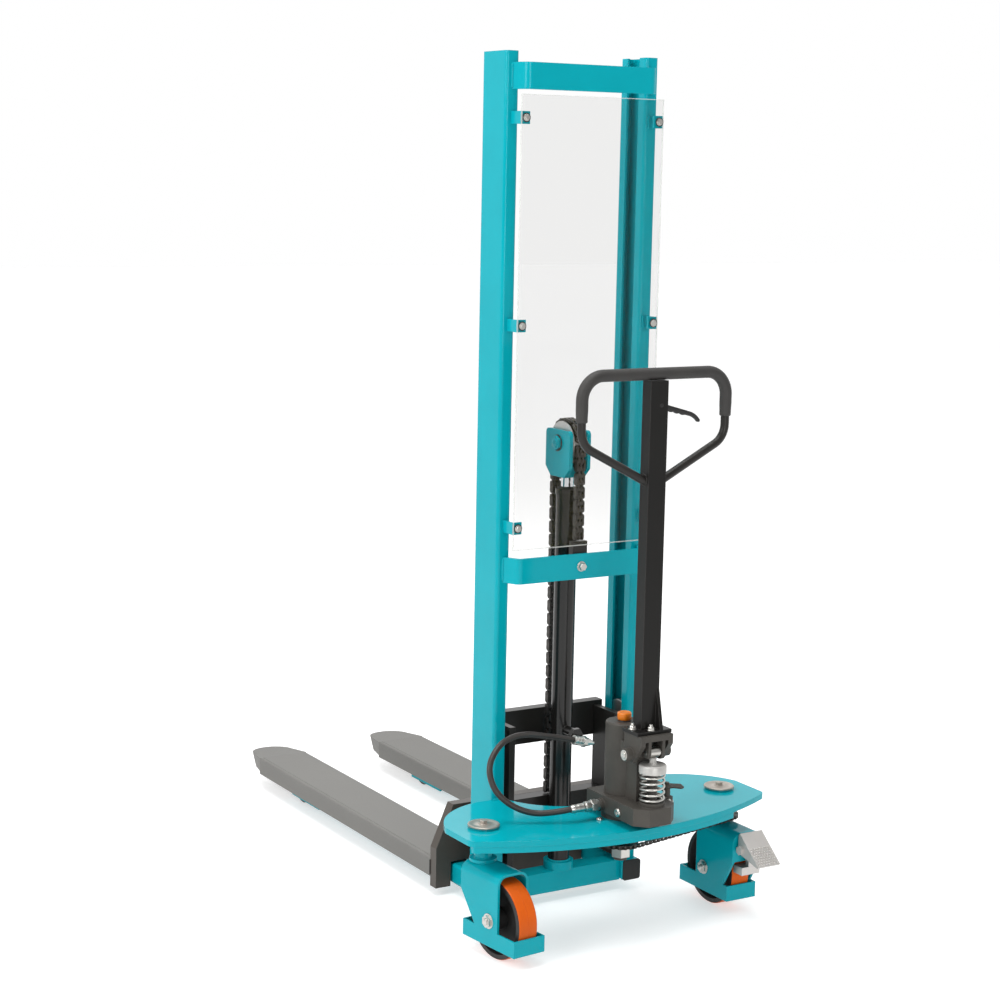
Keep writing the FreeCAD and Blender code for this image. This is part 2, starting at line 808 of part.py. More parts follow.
def lift_chain():
    """Leaf chain from the carriage over the pulley and down to the anchor on the middle bar."""
    pitch = measure("chain_pitch")
    circle = measure("chain_circle")
    middle = Vector(0, measure("cylinder_set"), measure(PULLEY_HEIGHT))
    end_room = (pitch - measure("slide_gap")) / 2

    def straight_pins(offset, floor):
        """Pins from just above a floor up to the level of the pulley's axis."""
        room = middle.z - end_room - measure(floor) - 2 * measure("slide_gap")
        count = int(room / pitch)
        top = middle.z - end_room - measure("slide_gap")
        foot = Vector(0, middle.y + offset, measure(floor) + end_room + measure("slide_gap"))
        step = (top - foot.z) / count
        return [foot + Vector(0, 0, step * number) for number in range(count + 1)]
    strand("lift_chain_front", straight_pins(circle, "lower_bar_top"))
    strand("lift_chain_rear", straight_pins(-circle, "anchor_top"))
    first = math.asin((end_room + measure("chain_end_gap")) / circle)
    links = int((math.pi - 2 * first) * circle / pitch)
    step = (math.pi - 2 * first) / links
    turns = [first + step * number for number in range(links + 1)]
    wrap = [middle + Vector(0, math.cos(turn), math.sin(turn)) * circle for turn in turns]
    strand("lift_chain_wrap", wrap)


def chain_anchor():
    """Block on the middle bar that holds the fixed end of the lift chain."""
    back = "bar_wall - bar_bulge"
    depth = "cylinder_set - chain_circle + chain_plate / 2 + bar_bulge - bar_wall"
    block = box("anchor_box", ("-anchor_half", back, "anchor_floor"),
                ("2 * anchor_half", depth, "anchor_top - anchor_floor"))
    keep(group("anchor_group", block), "chain_anchor")


def carriage():
    """Welded carriage that runs between the rails, with its roller stubs."""
    plates = []
    stubs = []
    back = "heel_front - heel_wall"
    for side in (-1, 1):
        start = "side_half" if side > 0 else "-side_half - side_wall"
        plate = pad(f"side_plate_{len(plates)}", "YZ_Plane", "side_wall", [
            ("side_back", "side_floor"), (back, "side_floor"), (back, "side_step"),
            ("side_front", "side_step"), ("side_front", "side_top"), ("side_back", "side_top")])
        seat(plate, start)
        plates.append(plate)
        stub_length = "(mast_half - rail_wall - side_play / 2 - side_half - side_wall)"
        stub_start = "side_half + side_wall" if side > 0 else f"-side_half - side_wall - {stub_length}"
        for height in ("low_roller_height", "high_roller_height"):
            stubs.append(rod(f"stub_{len(stubs)}", "stub_radius", stub_length,
                             (stub_start, "rail_depth / 2", height), "x"))
    keep(group("plate_group", *plates), "carriage_side_plates")
    keep(group("stub_group", *stubs), "roller_stubs")
    upper = box("upper_bar", ("-upper_bar_half", "side_front", "upper_bar_floor"),
                ("2 * upper_bar_half", "upper_bar_wall", "upper_bar_height"))
    lower = box("lower_bar", ("-side_half", "lower_bar_back", "lower_bar_floor"),
                ("2 * side_half", "lower_bar_wall", "lower_bar_top - lower_bar_floor"))
    keep(group("bar_group", upper, lower), "carriage_bars")
    for label, height in (("lower_rollers", "low_roller_height"), ("upper_rollers", "high_roller_height")):
        rollers = []
        near_face = "(mast_half - rail_width + rail_wall + side_play)"
        far_face = "(mast_half - rail_wall - side_play)"
        radius = "(rail_depth / 2 - rail_wall - roll_gap)"
        for low, high in ((near_face, far_face), (f"-{far_face}", f"-{near_face}")):
            edge = "side_play"
            rollers.append(turned(f"{label}_{len(rollers)}", [
                (low, "stub_radius + fit_gap"), (low, f"{radius} - {edge}"),
                (f"{low} + {edge}", radius), (f"{high} - {edge}", radius),
                (high, f"{radius} - {edge}"), (high, "stub_radius + fit_gap")]))
        keep(group(label + "_group", *rollers), label, y="rail_depth / 2", z=height)


def heel_plate():
    """Thick plate across both forks, cut out over the legs and sloped at its upper corners."""
    outer = f"({RAIL_MID} + fork_width / 2)"
    cut_half = "(leg_size / 2 + leg_gap)"
    cut_top = f"{LEG_TOP} + leg_gap"
    right = [(outer, "heel_floor"), (outer, "heel_rise"), (f"{outer} - heel_run", "heel_top")]
    left = [(f"-{across}", up) for across, up in reversed(right)]
    left[0] = (f"heel_run - {outer}", "heel_top")
    notches = []
    for side in (-1, 1):
        middle = f"{side} * {RAIL_MID}"
        notches += [(f"{middle} - {cut_half}", "heel_floor"), (f"{middle} - {cut_half}", cut_top),
                    (f"{middle} + {cut_half}", cut_top), (f"{middle} + {cut_half}", "heel_floor")]
    body = pad("heel_body", "XZ_Plane", "heel_wall", right + left + notches)
    keep(body, "heel_plate", y="heel_front - heel_wall")


def fork(label, side):
    """A folded channel over the leg, closed by a tapered nose with a round tip."""
    half = "fork_width / 2"
    inner = "(fork_width / 2 - fork_wall)"
    floor = "(fork_top - fork_height)"
    channel = pad(label + "_channel", "XZ_Plane", "fork_length - nose_length", [
        (f"-{half}", floor), (f"-{half}", "fork_top"), (half, "fork_top"), (half, floor),
        (inner, floor), (inner, "fork_top - fork_wall"), (f"-{inner}", "fork_top - fork_wall"),
        (f"-{inner}", floor)])
    soften(channel, "fork_corner", lambda spot, edge: straight(edge, Vector(0, 1, 0))
           and near(spot.z, "fork_top"))

    def nose_outline(length, height, drop, draw_in):
        wide = measure("fork_width") / 2 - draw_in
        neck = wide - measure("nose_taper")
        shoulder = length * NOSE_SHOULDER_SHARE

        def spot(across, along):
            return Vector(across, along, height - drop * along / length)
        sides = [spot(neck, shoulder), spot(wide, 0), spot(-wide, 0), spot(-neck, shoulder)]
        tip = Part.Arc(sides[-1], spot(0, length), sides[0])
        lines = [Part.LineSegment(a, b) for a, b in zip(sides, sides[1:])]
        return Part.Wire([line.toShape() for line in lines] + [tip.toShape()])
    start = Vector(0, measure("fork_length - nose_length"), 0)
    upper = nose_outline(measure("nose_length"), measure("fork_top"), measure("nose_drop"), 0)
    lower = nose_outline(measure("nose_length - nose_set_back"), measure(floor), 0, measure("fork_wall"))
    solid = Part.makeLoft([upper, lower], True, True)
    nose = shaped(label + "_nose", solid)
    nose.Placement = Placement(start, Rotation())
    keep(join(label + "_join", channel, nose), label, x=f"{side} * {RAIL_MID}", y="heel_front")


def base_plate():
    """Crescent plate behind the mast with the caster housings, the pump's pivot and a rear skirt."""
    blank = box("plate_blank", ("0", "-plate_rear", PLATE_UNDER),
                ("plate_half", "plate_rear + plate_front", "plate_wall"))
    rear = rod("plate_rear_arc", "plate_rear_radius", "plate_wall",
               ("0", "plate_rear_radius - plate_rear", PLATE_UNDER))
    shoulder = rod("plate_shoulder", "shoulder_radius", "plate_wall",
                   (SHOULDER_ACROSS, "-shoulder_set", PLATE_UNDER))
    inner = box("plate_inner", ("0", "-plate_rear", PLATE_UNDER),
                (SHOULDER_ACROSS, "plate_rear + shoulder_radius - shoulder_set", "plate_wall"))
    flank = box("plate_flank", (SHOULDER_ACROSS, "-plate_rear", PLATE_UNDER),
                ("shoulder_radius", "plate_rear - shoulder_set", "plate_wall"))
    right = overlap("plate_right", blank, rear, join("plate_outline", shoulder, inner, flank))
    whole = join("plate_whole", right, mirrored("plate_left", right))
    well = rod("plate_well", "well_radius", "plate_wall + 2 * overrun",
               ("0", "well_radius - well_depth", f"{PLATE_UNDER} - overrun"))
    gap = box("plate_gap", ("-mast_half", "0", f"{PLATE_UNDER} - overrun"),
              ("2 * mast_half", "plate_front + overrun", "plate_wall + 2 * overrun"))
    doc.recompute()
    plate = eased("plate_round", cut("plate_open", whole, well, gap), "plate_corner",
                  lambda spot, edge: straight(edge, Vector(0, 0, 1)) and near(abs(spot.x), "plate_half"))
    arc_start = ("0", "plate_rear_radius - plate_rear", f"{PLATE_UNDER} - skirt_height")
    skirt_radius = "plate_rear_radius - skirt_inset"
    ring = cut("skirt_ring", rod("skirt_outer", skirt_radius, "skirt_height", arc_start),
               rod("skirt_inner", f"{skirt_radius} - skirt_wall", "skirt_height", arc_start))
    reach = box("skirt_reach", ("-skirt_left", "-plate_rear", f"{PLATE_UNDER} - skirt_height"),
                ("skirt_left + skirt_right", "plate_rear - caster_set", "skirt_height"))
    skirt = overlap("skirt", ring, reach)
    bosses = [rod("pivot_boss_bar", "pivot_boss", "housing_height", ("0", "-pump_set", HOUSING_FLOOR))]
    bores = [rod("pivot_bore", "king_radius + fit_gap", "housing_height + plate_wall + 2 * overrun",
                 ("0", "-pump_set", f"{HOUSING_FLOOR} - overrun"))]
    for side in (-1, 1):
        across = f"{side} * caster_half"
        bosses.append(rod(f"housing_{len(bosses)}", "housing_radius", "housing_height",
                          (across, "-caster_set", HOUSING_FLOOR)))
        bosses.append(rod(f"disc_seat_{len(bosses)}", "seat_radius", "seat_height",
                          (across, "-caster_set", "plate_top")))
        bores.append(rod(f"housing_bore_{len(bores)}", "stem_radius + fit_gap",
                         "housing_height + plate_wall + 2 * overrun",
                         (across, "-caster_set", f"{HOUSING_FLOOR} - overrun")))
    keep(cut("plate_bored", join("plate_join", plate, skirt, *bosses), *bores), "base_plate")


def king_pin_discs():
    """Washers with bolts over both caster stems."""
    discs = []
    for side in (-1, 1):
        across = f"{side} * caster_half"
        disc = rod(f"disc_{len(discs)}", "disc_radius", "disc_wall",
                   (across, "-caster_set", "plate_top + seat_height"))
        bolt = hexagon(f"disc_bolt_{len(discs)}", "disc_bolt", "disc_bolt_height",
                       (across, "-caster_set", "plate_top + seat_height + disc_wall"))
        discs.append(join(f"disc_join_{len(discs)}", disc, bolt))
    keep(group("disc_group", *discs), "king_pin_discs")


def caster_yoke(label, trail, rear, slopes, extras):
    """Bent strap over the wheel with a toe guard round it and the stem on top."""
    wide = "yoke_half_width"
    inner = "(yoke_half_width - yoke_plate)"
    strap = pad(label + "_strap", "XZ_Plane", f"{rear} + yoke_front", [
        (f"-{wide}", "guard_top"), (f"-{wide}", "yoke_crown"), (wide, "yoke_crown"), (wide, "guard_top"),
        (inner, "guard_top"), (inner, "yoke_crown - yoke_plate"), (f"-{inner}", "yoke_crown - yoke_plate"),
        (f"-{inner}", "guard_top")])
    for level, radius in (("yoke_crown", "yoke_bend"),
                          ("yoke_crown - yoke_plate", "yoke_bend - yoke_plate")):
        soften(strap, radius, lambda spot, edge: straight(edge, Vector(0, 1, 0)) and near(spot.z, level))
    seat(strap, y=f"-{rear}")
    wedge = pad(label + "_wedge", "YZ_Plane", "2 * yoke_half_width + 2 * overrun", slopes, middle=True)
    ring = cut(label + "_guard",
               box(label + "_guard_out", (f"-{wide}", f"-{trail} - guard_half", "guard_floor"),
                   ("2 * yoke_half_width", "2 * guard_half", "guard_top - guard_floor")),
               box(label + "_guard_in",
                   ("guard_wall - yoke_half_width", f"guard_wall - guard_half - {trail}", "guard_floor"),
                   ("2 * yoke_half_width - 2 * guard_wall", "2 * guard_half - 2 * guard_wall",
                    "guard_top - guard_floor")))
    neck = rod(label + "_neck", "neck_radius", "neck_height", ("0", "0", "yoke_crown"))
    stem = rod(label + "_stem", "stem_radius", "plate_top - yoke_crown - slide_gap",
               ("0", "0", "yoke_crown"))
    frame = join(label + "_join", cut(label + "_sloped", strap, wedge), ring, neck, stem, *extras)
    bore = rod(label + "_bore", "wheel_axle + fit_gap", "2 * yoke_half_width + 2 * overrun",
               ("-yoke_half_width - overrun", f"-{trail}", "wheel_radius"), "x")
    return cut(label + "_cut", frame, bore)


def caster_axle(label, trail):
    """Wheel bolt through both sides of the yoke, with its head and nut."""
    shank = rod(label + "_shank", "wheel_axle", "2 * yoke_half_width",
                ("-yoke_half_width", f"-{trail}", "wheel_radius"), "x")
    ends = [hexagon(f"{label}_end_{number}", "axle_head", "axle_head_height",
                    (start, f"-{trail}", "wheel_radius"), "x")
            for number, start in enumerate(("yoke_half_width", "-yoke_half_width - axle_head_height"))]
    return join(label + "_join", shank, *ends)


def wheel_core(label):
    """Cast wheel body: hub, web and rim."""
    rim_inner = "(wheel_radius - tread - rim_wall)"
    bore = "wheel_axle + fit_gap"
    right = [("hub_half", bore), ("hub_half", "hub_radius"), ("web_half", "hub_radius"),
             ("web_half", rim_inner), ("wheel_half", f"{rim_inner} + rim_wall / 2"),
             ("wheel_half", "wheel_radius - tread - fit_gap")]
    left = [(f"-{across}", radius) for across, radius in reversed(right)]
    return turned(label + "_body", right + left)


def tyre(label):
    """Tread bonded on the wheel body, with eased edges."""
    edge = f"{TREAD_EDGE_SHARE} * tread"
    base = "wheel_radius - tread"
    right = [("wheel_half", base), ("wheel_half", f"wheel_radius - {edge}"),
             (f"wheel_half - {edge}", "wheel_radius")]
    left = [(f"{edge} - wheel_half", "wheel_radius"), ("-wheel_half", f"wheel_radius - {edge}"),
            ("-wheel_half", base)]
    return turned(label + "_body", right + left)


def sprocket(label, bore):
    """Flat chain wheel with a ring of roller seats."""
    body = new_body(label + "_body")
    disc = body.newObject("PartDesign::AdditiveCylinder", label + "_disc")
    bind(disc, "Radius", "sprocket_radius")
    bind(disc, "Height", "sprocket_wall")
    seat_cut = body.newObject("PartDesign::SubtractiveCylinder", label + "_seat")
    bind(seat_cut, "Radius", "sprocket_notch")
    bind(seat_cut, "Height", "sprocket_wall + 2 * overrun")
    bind(seat_cut, "AttachmentOffset.Base.x", "sprocket_radius")
    bind(seat_cut, "AttachmentOffset.Base.z", "-overrun")
    ring = body.newObject("PartDesign::PolarPattern", label + "_ring")
    ring.Originals = [seat_cut]
    ring.Axis = (next(item for item in body.Origin.OriginFeatures if item.Role == "Z_Axis"), [""])
    ring.Occurrences = SPROCKET_TEETH
    body.Tip = ring
    doc.recompute()
    hole = rod(label + "_hole", bore, "sprocket_wall + 2 * overrun", ("0", "0", "-overrun"))
    return cut(label + "_cut", body, hole)


def casters():
    """Free left caster, steered right caster with its sprocket and brake."""
    left_place = dict(x="-caster_half", y="-caster_set", turn="left_caster_angle")
    right_place = dict(x="caster_half", y="-caster_set")
    front = "yoke_front + overrun"
    left_slope = [("yoke_front", "left_slope_top"), (front, "left_slope_top"), (front, "guard_top"),
                  ("yoke_front - left_slope_run", "guard_top")]
    left_yoke = caster_yoke("left_yoke", "left_trail", "left_yoke_rear", left_slope, [])
    keep(left_yoke, "left_caster_yoke", **left_place)
    back = "-right_yoke_rear"
    right_slope = [(back, "right_slope_top"), (f"{back} - overrun", "right_slope_top"),
                   (f"{back} - overrun", "guard_top"), (f"{back} + right_slope_run", "guard_top")]
    keep(caster_yoke("right_yoke", "right_trail", "right_yoke_rear", right_slope, [brake_ears()]),
         "right_caster_yoke", **right_place)
    for side, place in (("left", left_place), ("right", right_place)):
        trail = side + "_trail"
        keep(caster_axle(side + "_axle", trail), side + "_axle", **place)
        swing = place.get("turn", "0")
        for label, made in ((side + "_wheel", wheel_core(side + "_wheel")),
                            (side + "_tyre", tyre(side + "_tyre"))):
            keep(made, label, x=f"{place['x']} + {trail} * sin({swing})",
                 y=f"{place['y']} - {trail} * cos({swing})", z="wheel_radius", turn=place.get("turn"))
    chain_wheel = sprocket("caster_sprocket", "stem_radius + fit_gap")
    keep(chain_wheel, "caster_sprocket", z="sprocket_floor", **right_place)


def brake_ears():
    """Plate across the rear of the right yoke, with two ears for the brake's pin."""
    bend = "(yoke_half_width - yoke_bend)"
    level = "(yoke_crown - yoke_bend)"
    radius = "(yoke_bend - yoke_plate / 2)"
    slant = f"{DIAGONAL_SHARE} * {radius}"
    right = [(f"{bend} + {radius}", "rear_plate_floor"), (f"{bend} + {radius}", level),
             (f"{bend} + {slant}", f"{level} + {slant}"), (bend, f"{level} + {radius}")]
    left = [(f"-({across})", up) for across, up in reversed(right)]
    plate = pad("rear_plate", "XZ_Plane", "yoke_plate", right + left)
    seat(plate, y="-right_yoke_rear")
    ears = []
    for start in ("ear_half", "-ear_half - ear_wall"):
        ear = pad(f"brake_ear_{len(ears)}", "YZ_Plane", "ear_wall", [
            ("-brake_set - ear_nose", "brake_height - ear_nose"),
            ("-right_yoke_rear", "brake_height - ear_nose"),
            ("-right_yoke_rear", "brake_height + ear_nose"),
            ("-brake_set", "brake_height + ear_nose"), ("-brake_set - ear_nose", "brake_height")])
        seat(ear, start)
        ears.append(ear)
    bore = rod("ear_bore", "brake_pin + fit_gap", "2 * ear_half + 2 * ear_wall + 2 * overrun",
               ("-ear_half - ear_wall - overrun", "-brake_set", "brake_height"), "x")
    return cut("ears_cut", join("ears_join", plate, *ears), bore)


def brake():
    """Foot pedal with folded cheeks, and the shoe that it presses on the right tyre."""
    lean = f"{DIAGONAL_SHARE} * pedal_wall"
    tread_plate = pad("pedal_plate", "YZ_Plane", "2 * pedal_half", [
        ("-pedal_upper_set", "pedal_upper"), ("-pedal_lower_set", "pedal_lower"),
        (f"-pedal_lower_set - {lean}", f"pedal_lower + {lean}"),
        (f"-pedal_upper_set - {lean}", f"pedal_upper + {lean}")], middle=True)
    cheeks = []
    nuts = []
    for side in (-1, 1):
        cheek = pad(f"pedal_cheek_{len(cheeks)}", "YZ_Plane", "pedal_wall", [
            ("-brake_set", "brake_height - brake_hub"), ("-pedal_lower_set", "pedal_lower"),
            ("-pedal_upper_set", "pedal_upper"), ("brake_hub - brake_set", "brake_height")])
        cheeks.append(seat(cheek, "pedal_half - pedal_wall" if side > 0 else "-pedal_half"))
        nut_start = "pedal_half" if side > 0 else "-pedal_half - brake_nut_height"
        nuts.append(hexagon(f"pedal_nut_{len(nuts)}", "brake_nut", "brake_nut_height",
                            (nut_start, "-brake_set", "brake_height"), "x"))
    hub = rod("pedal_hub", "brake_hub", "2 * ear_half - 2 * slide_gap",
              ("slide_gap - ear_half", "-brake_set", "brake_height"), "x")
    pin = rod("pedal_pin", "brake_pin", "2 * pedal_half", ("-pedal_half", "-brake_set", "brake_height"), "x")
    near_side = "(right_yoke_rear + arm_gap)"
    far_side = "(right_yoke_rear + arm_gap + arm_wall)"
    arm = pad("shoe_arm", "YZ_Plane", "2 * arm_half", [
        (f"-{far_side}", "shoe_floor"), (f"-{near_side}", "shoe_floor"),
        (f"-{near_side}", "brake_height"), (f"-{far_side}", "brake_height")], middle=True)
    face = "(right_trail + wheel_radius + shoe_gap)"
    shoe = box("shoe_block", ("-shoe_half", f"-{far_side}", "shoe_floor"),
               ("2 * shoe_half", f"{far_side} - {face}", "shoe_height"))
    keep(join("pedal_join", tread_plate, hub, pin, arm, shoe, *cheeks, *nuts), "brake_pedal",
         x="caster_half", y="-caster_set")


def steering_chain():
    """Chain loop round the pump's sprocket and the right caster's sprocket."""
    inner = measure("sprocket_radius + roll_gap")
    outer = inner + measure("steer_chain_wall")
    start = Vector(0, -measure("pump_set"), 0)
    end = Vector(measure("caster_half"), -measure("caster_set"), 0)
    aside = Vector(0, 0, 1).cross((end - start).normalize())
    ahead = (end - start).normalize()

    def loop(radius):
        corners = [start + aside * radius, end + aside * radius,
                   end - aside * radius, start - aside * radius]
        edges = [Part.LineSegment(corners[0], corners[1]),
                 Part.Arc(corners[1], end + ahead * radius, corners[2]),
                 Part.LineSegment(corners[2], corners[3]),
                 Part.Arc(corners[3], start - ahead * radius, corners[0])]
        return Part.Face(Part.Wire([edge.toShape() for edge in edges]))
    band = loop(outer).cut(loop(inner)).extrude(Vector(0, 0, measure("steer_chain_height")))
    floor = "sprocket_floor + sprocket_wall / 2 - steer_chain_height / 2"
    keep(shaped("steering_band", band), "steering_chain", z=floor)


def pump():
    """Pump block on its king pin, with the reservoir and the tiller's pin."""
    front = "block_front"
    rear = "-block_rear"
    half = "block_half"
    slant = "block_chamfer"
    casting = pad("block_casting", "XY_Plane", "block_height - block_lift", [
        (f"-{half}", f"{rear} + {slant}"), (f"{slant} - {half}", rear), (f"{half} - {slant}", rear),
        (half, f"{rear} + {slant}"), (half, front), (f"-{half}", front)])
    seat(casting, z=f"{BLOCK_FLOOR} + block_lift")
    foot = rod("block_foot", "block_seat", "block_lift", ("0", "0", BLOCK_FLOOR))
    king = rod("king_pin", "king_radius", f"{BLOCK_FLOOR} - king_floor", ("0", "0", "king_floor"))
    port_height = f"{BLOCK_FLOOR} + {PORT_SHARE} * block_height"
    boss = rod("side_boss", "port_boss", "port_boss_height + block_chamfer",
               ("-block_half - port_boss_height", "0", port_height), "x")
    ferrule = rod("side_ferrule", "fitting_radius", "fitting_length",
                  ("-block_half - port_boss_height - fitting_length", "0", port_height), "x")
    lug = box("valve_lug", ("0", "-valve_back - valve_lug_half", f"{BLOCK_TOP} - valve_lug_height"),
              ("valve_across + valve_lug_half", "2 * valve_lug_half", "valve_lug_height"))
    post = rod("valve_post", "valve_post", "valve_rise", ("valve_across", "-valve_back", BLOCK_TOP))
    valve_pin = rod("valve_pin_bar", "valve_pin", "valve_wall + valve_pin + slide_gap",
                    ("valve_across", "-valve_back", f"{BLOCK_TOP} + valve_rise"))
    bore = rod("plunger_bore", "plunger_radius + fit_gap", "plunger_bore_depth + overrun",
               ("0", f"pump_set - {CAM_SET}", f"{BLOCK_TOP} - plunger_bore_depth"))
    collar = rod("spring_collar", "collar_radius", "collar_height",
                 ("0", f"pump_set - {CAM_SET}", BLOCK_TOP))
    solid = join("block_join", casting, foot, king, boss, ferrule, lug, post, valve_pin, collar)
    keep(cut("block_bored", solid, bore), "pump_block", y="-pump_set")
    keep(cut("nut_cut", hexagon("king_hex", "nut_radius", "nut_height", ("0", "0", "0")),
             rod("nut_hole", "king_radius + fit_gap", "nut_height + 2 * overrun", ("0", "0", "-overrun"))),
         "king_nut", y="-pump_set", z="king_floor + king_radius / 2")
    chain_wheel = sprocket("pump_sprocket", "king_radius + fit_gap")
    keep(chain_wheel, "pump_sprocket", y="-pump_set", z="sprocket_floor")
    can = rod("can", "reservoir_radius", "reservoir_height", ("0", "-pump_set", BLOCK_TOP))
    tank = eased("tank", can, "reservoir_corner", lambda spot, edge: near(spot.z, RESERVOIR_TOP))
    lug_end = rod("lug_end", "lug_radius", "2 * lug_half", ("-lug_half", "-pin_set", "pin_height"), "x")
    lug_arm = box("lug_arm", ("-lug_half", "-pin_set", "pin_height - lug_radius"),
                  ("2 * lug_half", "pin_set - pump_set", "2 * lug_radius"))
    rib = box("lug_rib", ("-rib_half", "-pump_set - rib_rear", BLOCK_TOP),
              ("2 * rib_half", "rib_rear", f"pin_height - {BLOCK_TOP}"))
    lug_bore = rod("lug_bore", "pin_radius + fit_gap", "2 * lug_half + 2 * overrun",
                   ("-lug_half - overrun", "-pin_set", "pin_height"), "x")
    casting = join("reservoir_join", tank, lug_end, lug_arm, rib)
    keep(cut("reservoir_cut", casting, lug_bore), "pump_reservoir")
    neck = rod("filler_neck_bar", "filler_neck", "filler_neck_height", ("0", "-pump_set", RESERVOIR_TOP))
    knob = hexagon("filler_knob", "filler_radius", "filler_height - filler_neck_height",
                   ("0", "-pump_set", f"{RESERVOIR_TOP} + filler_neck_height"))
    keep(join("filler_join", neck, knob), "filler_cap")
    pin = rod("tiller_pin_bar", "pin_radius", "2 * pin_half", ("-pin_half", "-pin_set", "pin_height"), "x")
    keep(group("tiller_pin_group", pin), "tiller_pin")


def plunger():
    """Pump plunger with its spring cap, pushed down by the tiller's roller."""
    bar = rod("plunger_bar", "plunger_radius", f"{CAP_FLOOR} - {BLOCK_TOP} + plunger_seat",
              ("0", f"-{CAM_SET}", f"{BLOCK_TOP} - plunger_seat"))
    tip = rod("plunger_tip_bar", "plunger_tip", f"{PLUNGER_TOP} - {CAP_FLOOR}",
              ("0", f"-{CAM_SET}", CAP_FLOOR))
    skirt = rod("cap_skirt", "cap_radius", "cap_height - cap_chamfer", ("0", f"-{CAM_SET}", CAP_FLOOR))
    crown = doc.addObject("Part::Cone", "cap_crown")
    bind(crown, "Radius1", "cap_radius")
    bind(crown, "Radius2", "cap_radius - cap_chamfer")
    bind(crown, "Height", "cap_chamfer")
    seat(crown, "0", f"-{CAM_SET}", f"{CAP_FLOOR} + cap_height - cap_chamfer")
    keep(join("plunger_join", bar, tip, skirt, crown), "pump_plunger")


def arc_through(start, heading, end, final):
    """Two tangent arcs from one point and heading to another."""
    span = end - start
    both = heading + final
    room = 4 - both.dot(both)
    reach = (math.sqrt(span.dot(both) ** 2 + room * span.dot(span)) - span.dot(both)) / room
    first = start + heading * reach
    second = end - final * reach
    joint = (first + second) / 2
    arcs = []
    for low, bend, high in ((start, first, joint), (joint, second, end)):
        chord = (high - low).Length / 2
        centre = (low + high) / 2
        arcs.append(Part.Arc(low, centre + (bend - centre) * chord / (chord + reach), high))
    return arcs


def pump_spring():
    """Coil spring round the plunger, one wire with straight ends."""
    radius = measure("spring_radius")
    wire = measure("spring_wire")
    floor = measure(BLOCK_TOP) + measure("collar_height + slide_gap") + wire / 2
    rise = (measure("spring_height - collar_height - 2 * slide_gap") - wire) / SPRING_TURNS
    parts = int(SPRING_TURNS * TURN_PARTS)
    slope = rise / (2 * math.pi)

    def spot(turn):
        return Vector(radius * math.cos(turn), radius * math.sin(turn), floor + slope * turn)

    def heading(turn):
        return Vector(-radius * math.sin(turn), radius * math.cos(turn), slope).normalize()
    turns = [2 * math.pi / TURN_PARTS * number for number in range(parts + 1)]
    curves = [Part.LineSegment(spot(turns[0]) - heading(turns[0]) * wire, spot(turns[0]))]
    for low, high in zip(turns, turns[1:]):
        curves += arc_through(spot(low), heading(low), spot(high), heading(high))
    curves.append(Part.LineSegment(spot(turns[-1]), spot(turns[-1]) + heading(turns[-1]) * wire))
    path = Part.Wire([curve.toShape() for curve in curves])
    section = Part.Wire(Part.makeCircle(wire / 2, curves[0].StartPoint, heading(turns[0])))
    centre = [curves[0].StartPoint]
    centre += [spot(turns[-1] * number / SPRING_SPOTS) for number in range(SPRING_SPOTS + 1)]
    centre.append(curves[-1].EndPoint)
    apart = int(SPRING_SPOTS / SPRING_TURNS / 2)
    least = min((one - other).Length for number, one in enumerate(centre)
                for other in centre[number + apart:])
    print("spring: least gap to itself", round(least - wire, 2))
    coil = shaped("spring_wire_tube", path.makePipeShell([section], True, False))
    keep(coil, "pump_spring", y=f"-{CAM_SET}")


def tiller_bracket():
    """Clevis on the tiller's pin: two arms with bosses, and prongs that hold the cam roller."""
    lug_room = "(bracket_half - bracket_wall)"
    under = "(bracket_rise - bracket_top_wall)"
    prong_out = "(cam_half + side_play + prong_wall)"
    arm_corners = [
        ("bracket_front", "-bracket_drop / 2"), ("bracket_front", "bracket_rise"),
        ("-bracket_rear", "bracket_rise"), ("-bracket_rear", "bracket_rise - arm_fall"),
        ("-bracket_drop / 2", "-bracket_drop"), ("bracket_drop / 2", "-bracket_drop")]
    prong_corners = [
        ("-lug_radius - lug_play", under), ("-bracket_rear", under), ("-bracket_rear", "cam_rise"),
        ("-cam_set - cam_radius", "cam_rise - cam_radius"),
        ("-lug_radius - lug_play", "cam_rise - cam_radius")]
    pieces = [box("bracket_top", (f"-{lug_room}", "-bracket_rear", under),
                  (f"2 * {lug_room}", "bracket_rear + bracket_front", "bracket_top_wall"))]
    for side in (-1, 1):
        arm = pad(f"bracket_arm_{len(pieces)}", "YZ_Plane", "bracket_wall", arm_corners)
        pieces.append(seat(arm, lug_room if side > 0 else "-bracket_half"))
        prong = pad(f"bracket_prong_{len(pieces)}", "YZ_Plane", "prong_wall", prong_corners)
        pieces.append(seat(prong, "cam_half + side_play" if side > 0 else f"-{prong_out}"))
        pieces.append(rod(f"bracket_boss_{len(pieces)}", "boss_radius", "boss_reach - bracket_half",
                          ("bracket_half" if side > 0 else "-boss_reach", "0", "0"), "x"))
    bores = [rod("bracket_bore", "pin_radius + fit_gap", "2 * boss_reach + 2 * overrun",
                 ("-boss_reach - overrun", "0", "0"), "x"),
             rod("cam_bore", "cam_pin + fit_gap", f"2 * {prong_out} + 2 * side_play",
                 (f"-{prong_out} - side_play", "-cam_set", "cam_rise"), "x")]
    clevis = cut("bracket_cut", join("bracket_join", *pieces), *bores)
    keep(clevis, "tiller_bracket", y="-pin_set", z="pin_height")
    roller = rod("cam_wheel", "cam_radius", "2 * cam_half", ("-cam_half", "0", "0"), "x")
    axle = rod("cam_axle", "cam_pin", f"2 * {prong_out}", (f"-{prong_out}", "0", "0"), "x")
    keep(join("cam_join", roller, axle), "cam_roller", y=f"-{CAM_SET}", z="pin_height + cam_rise")


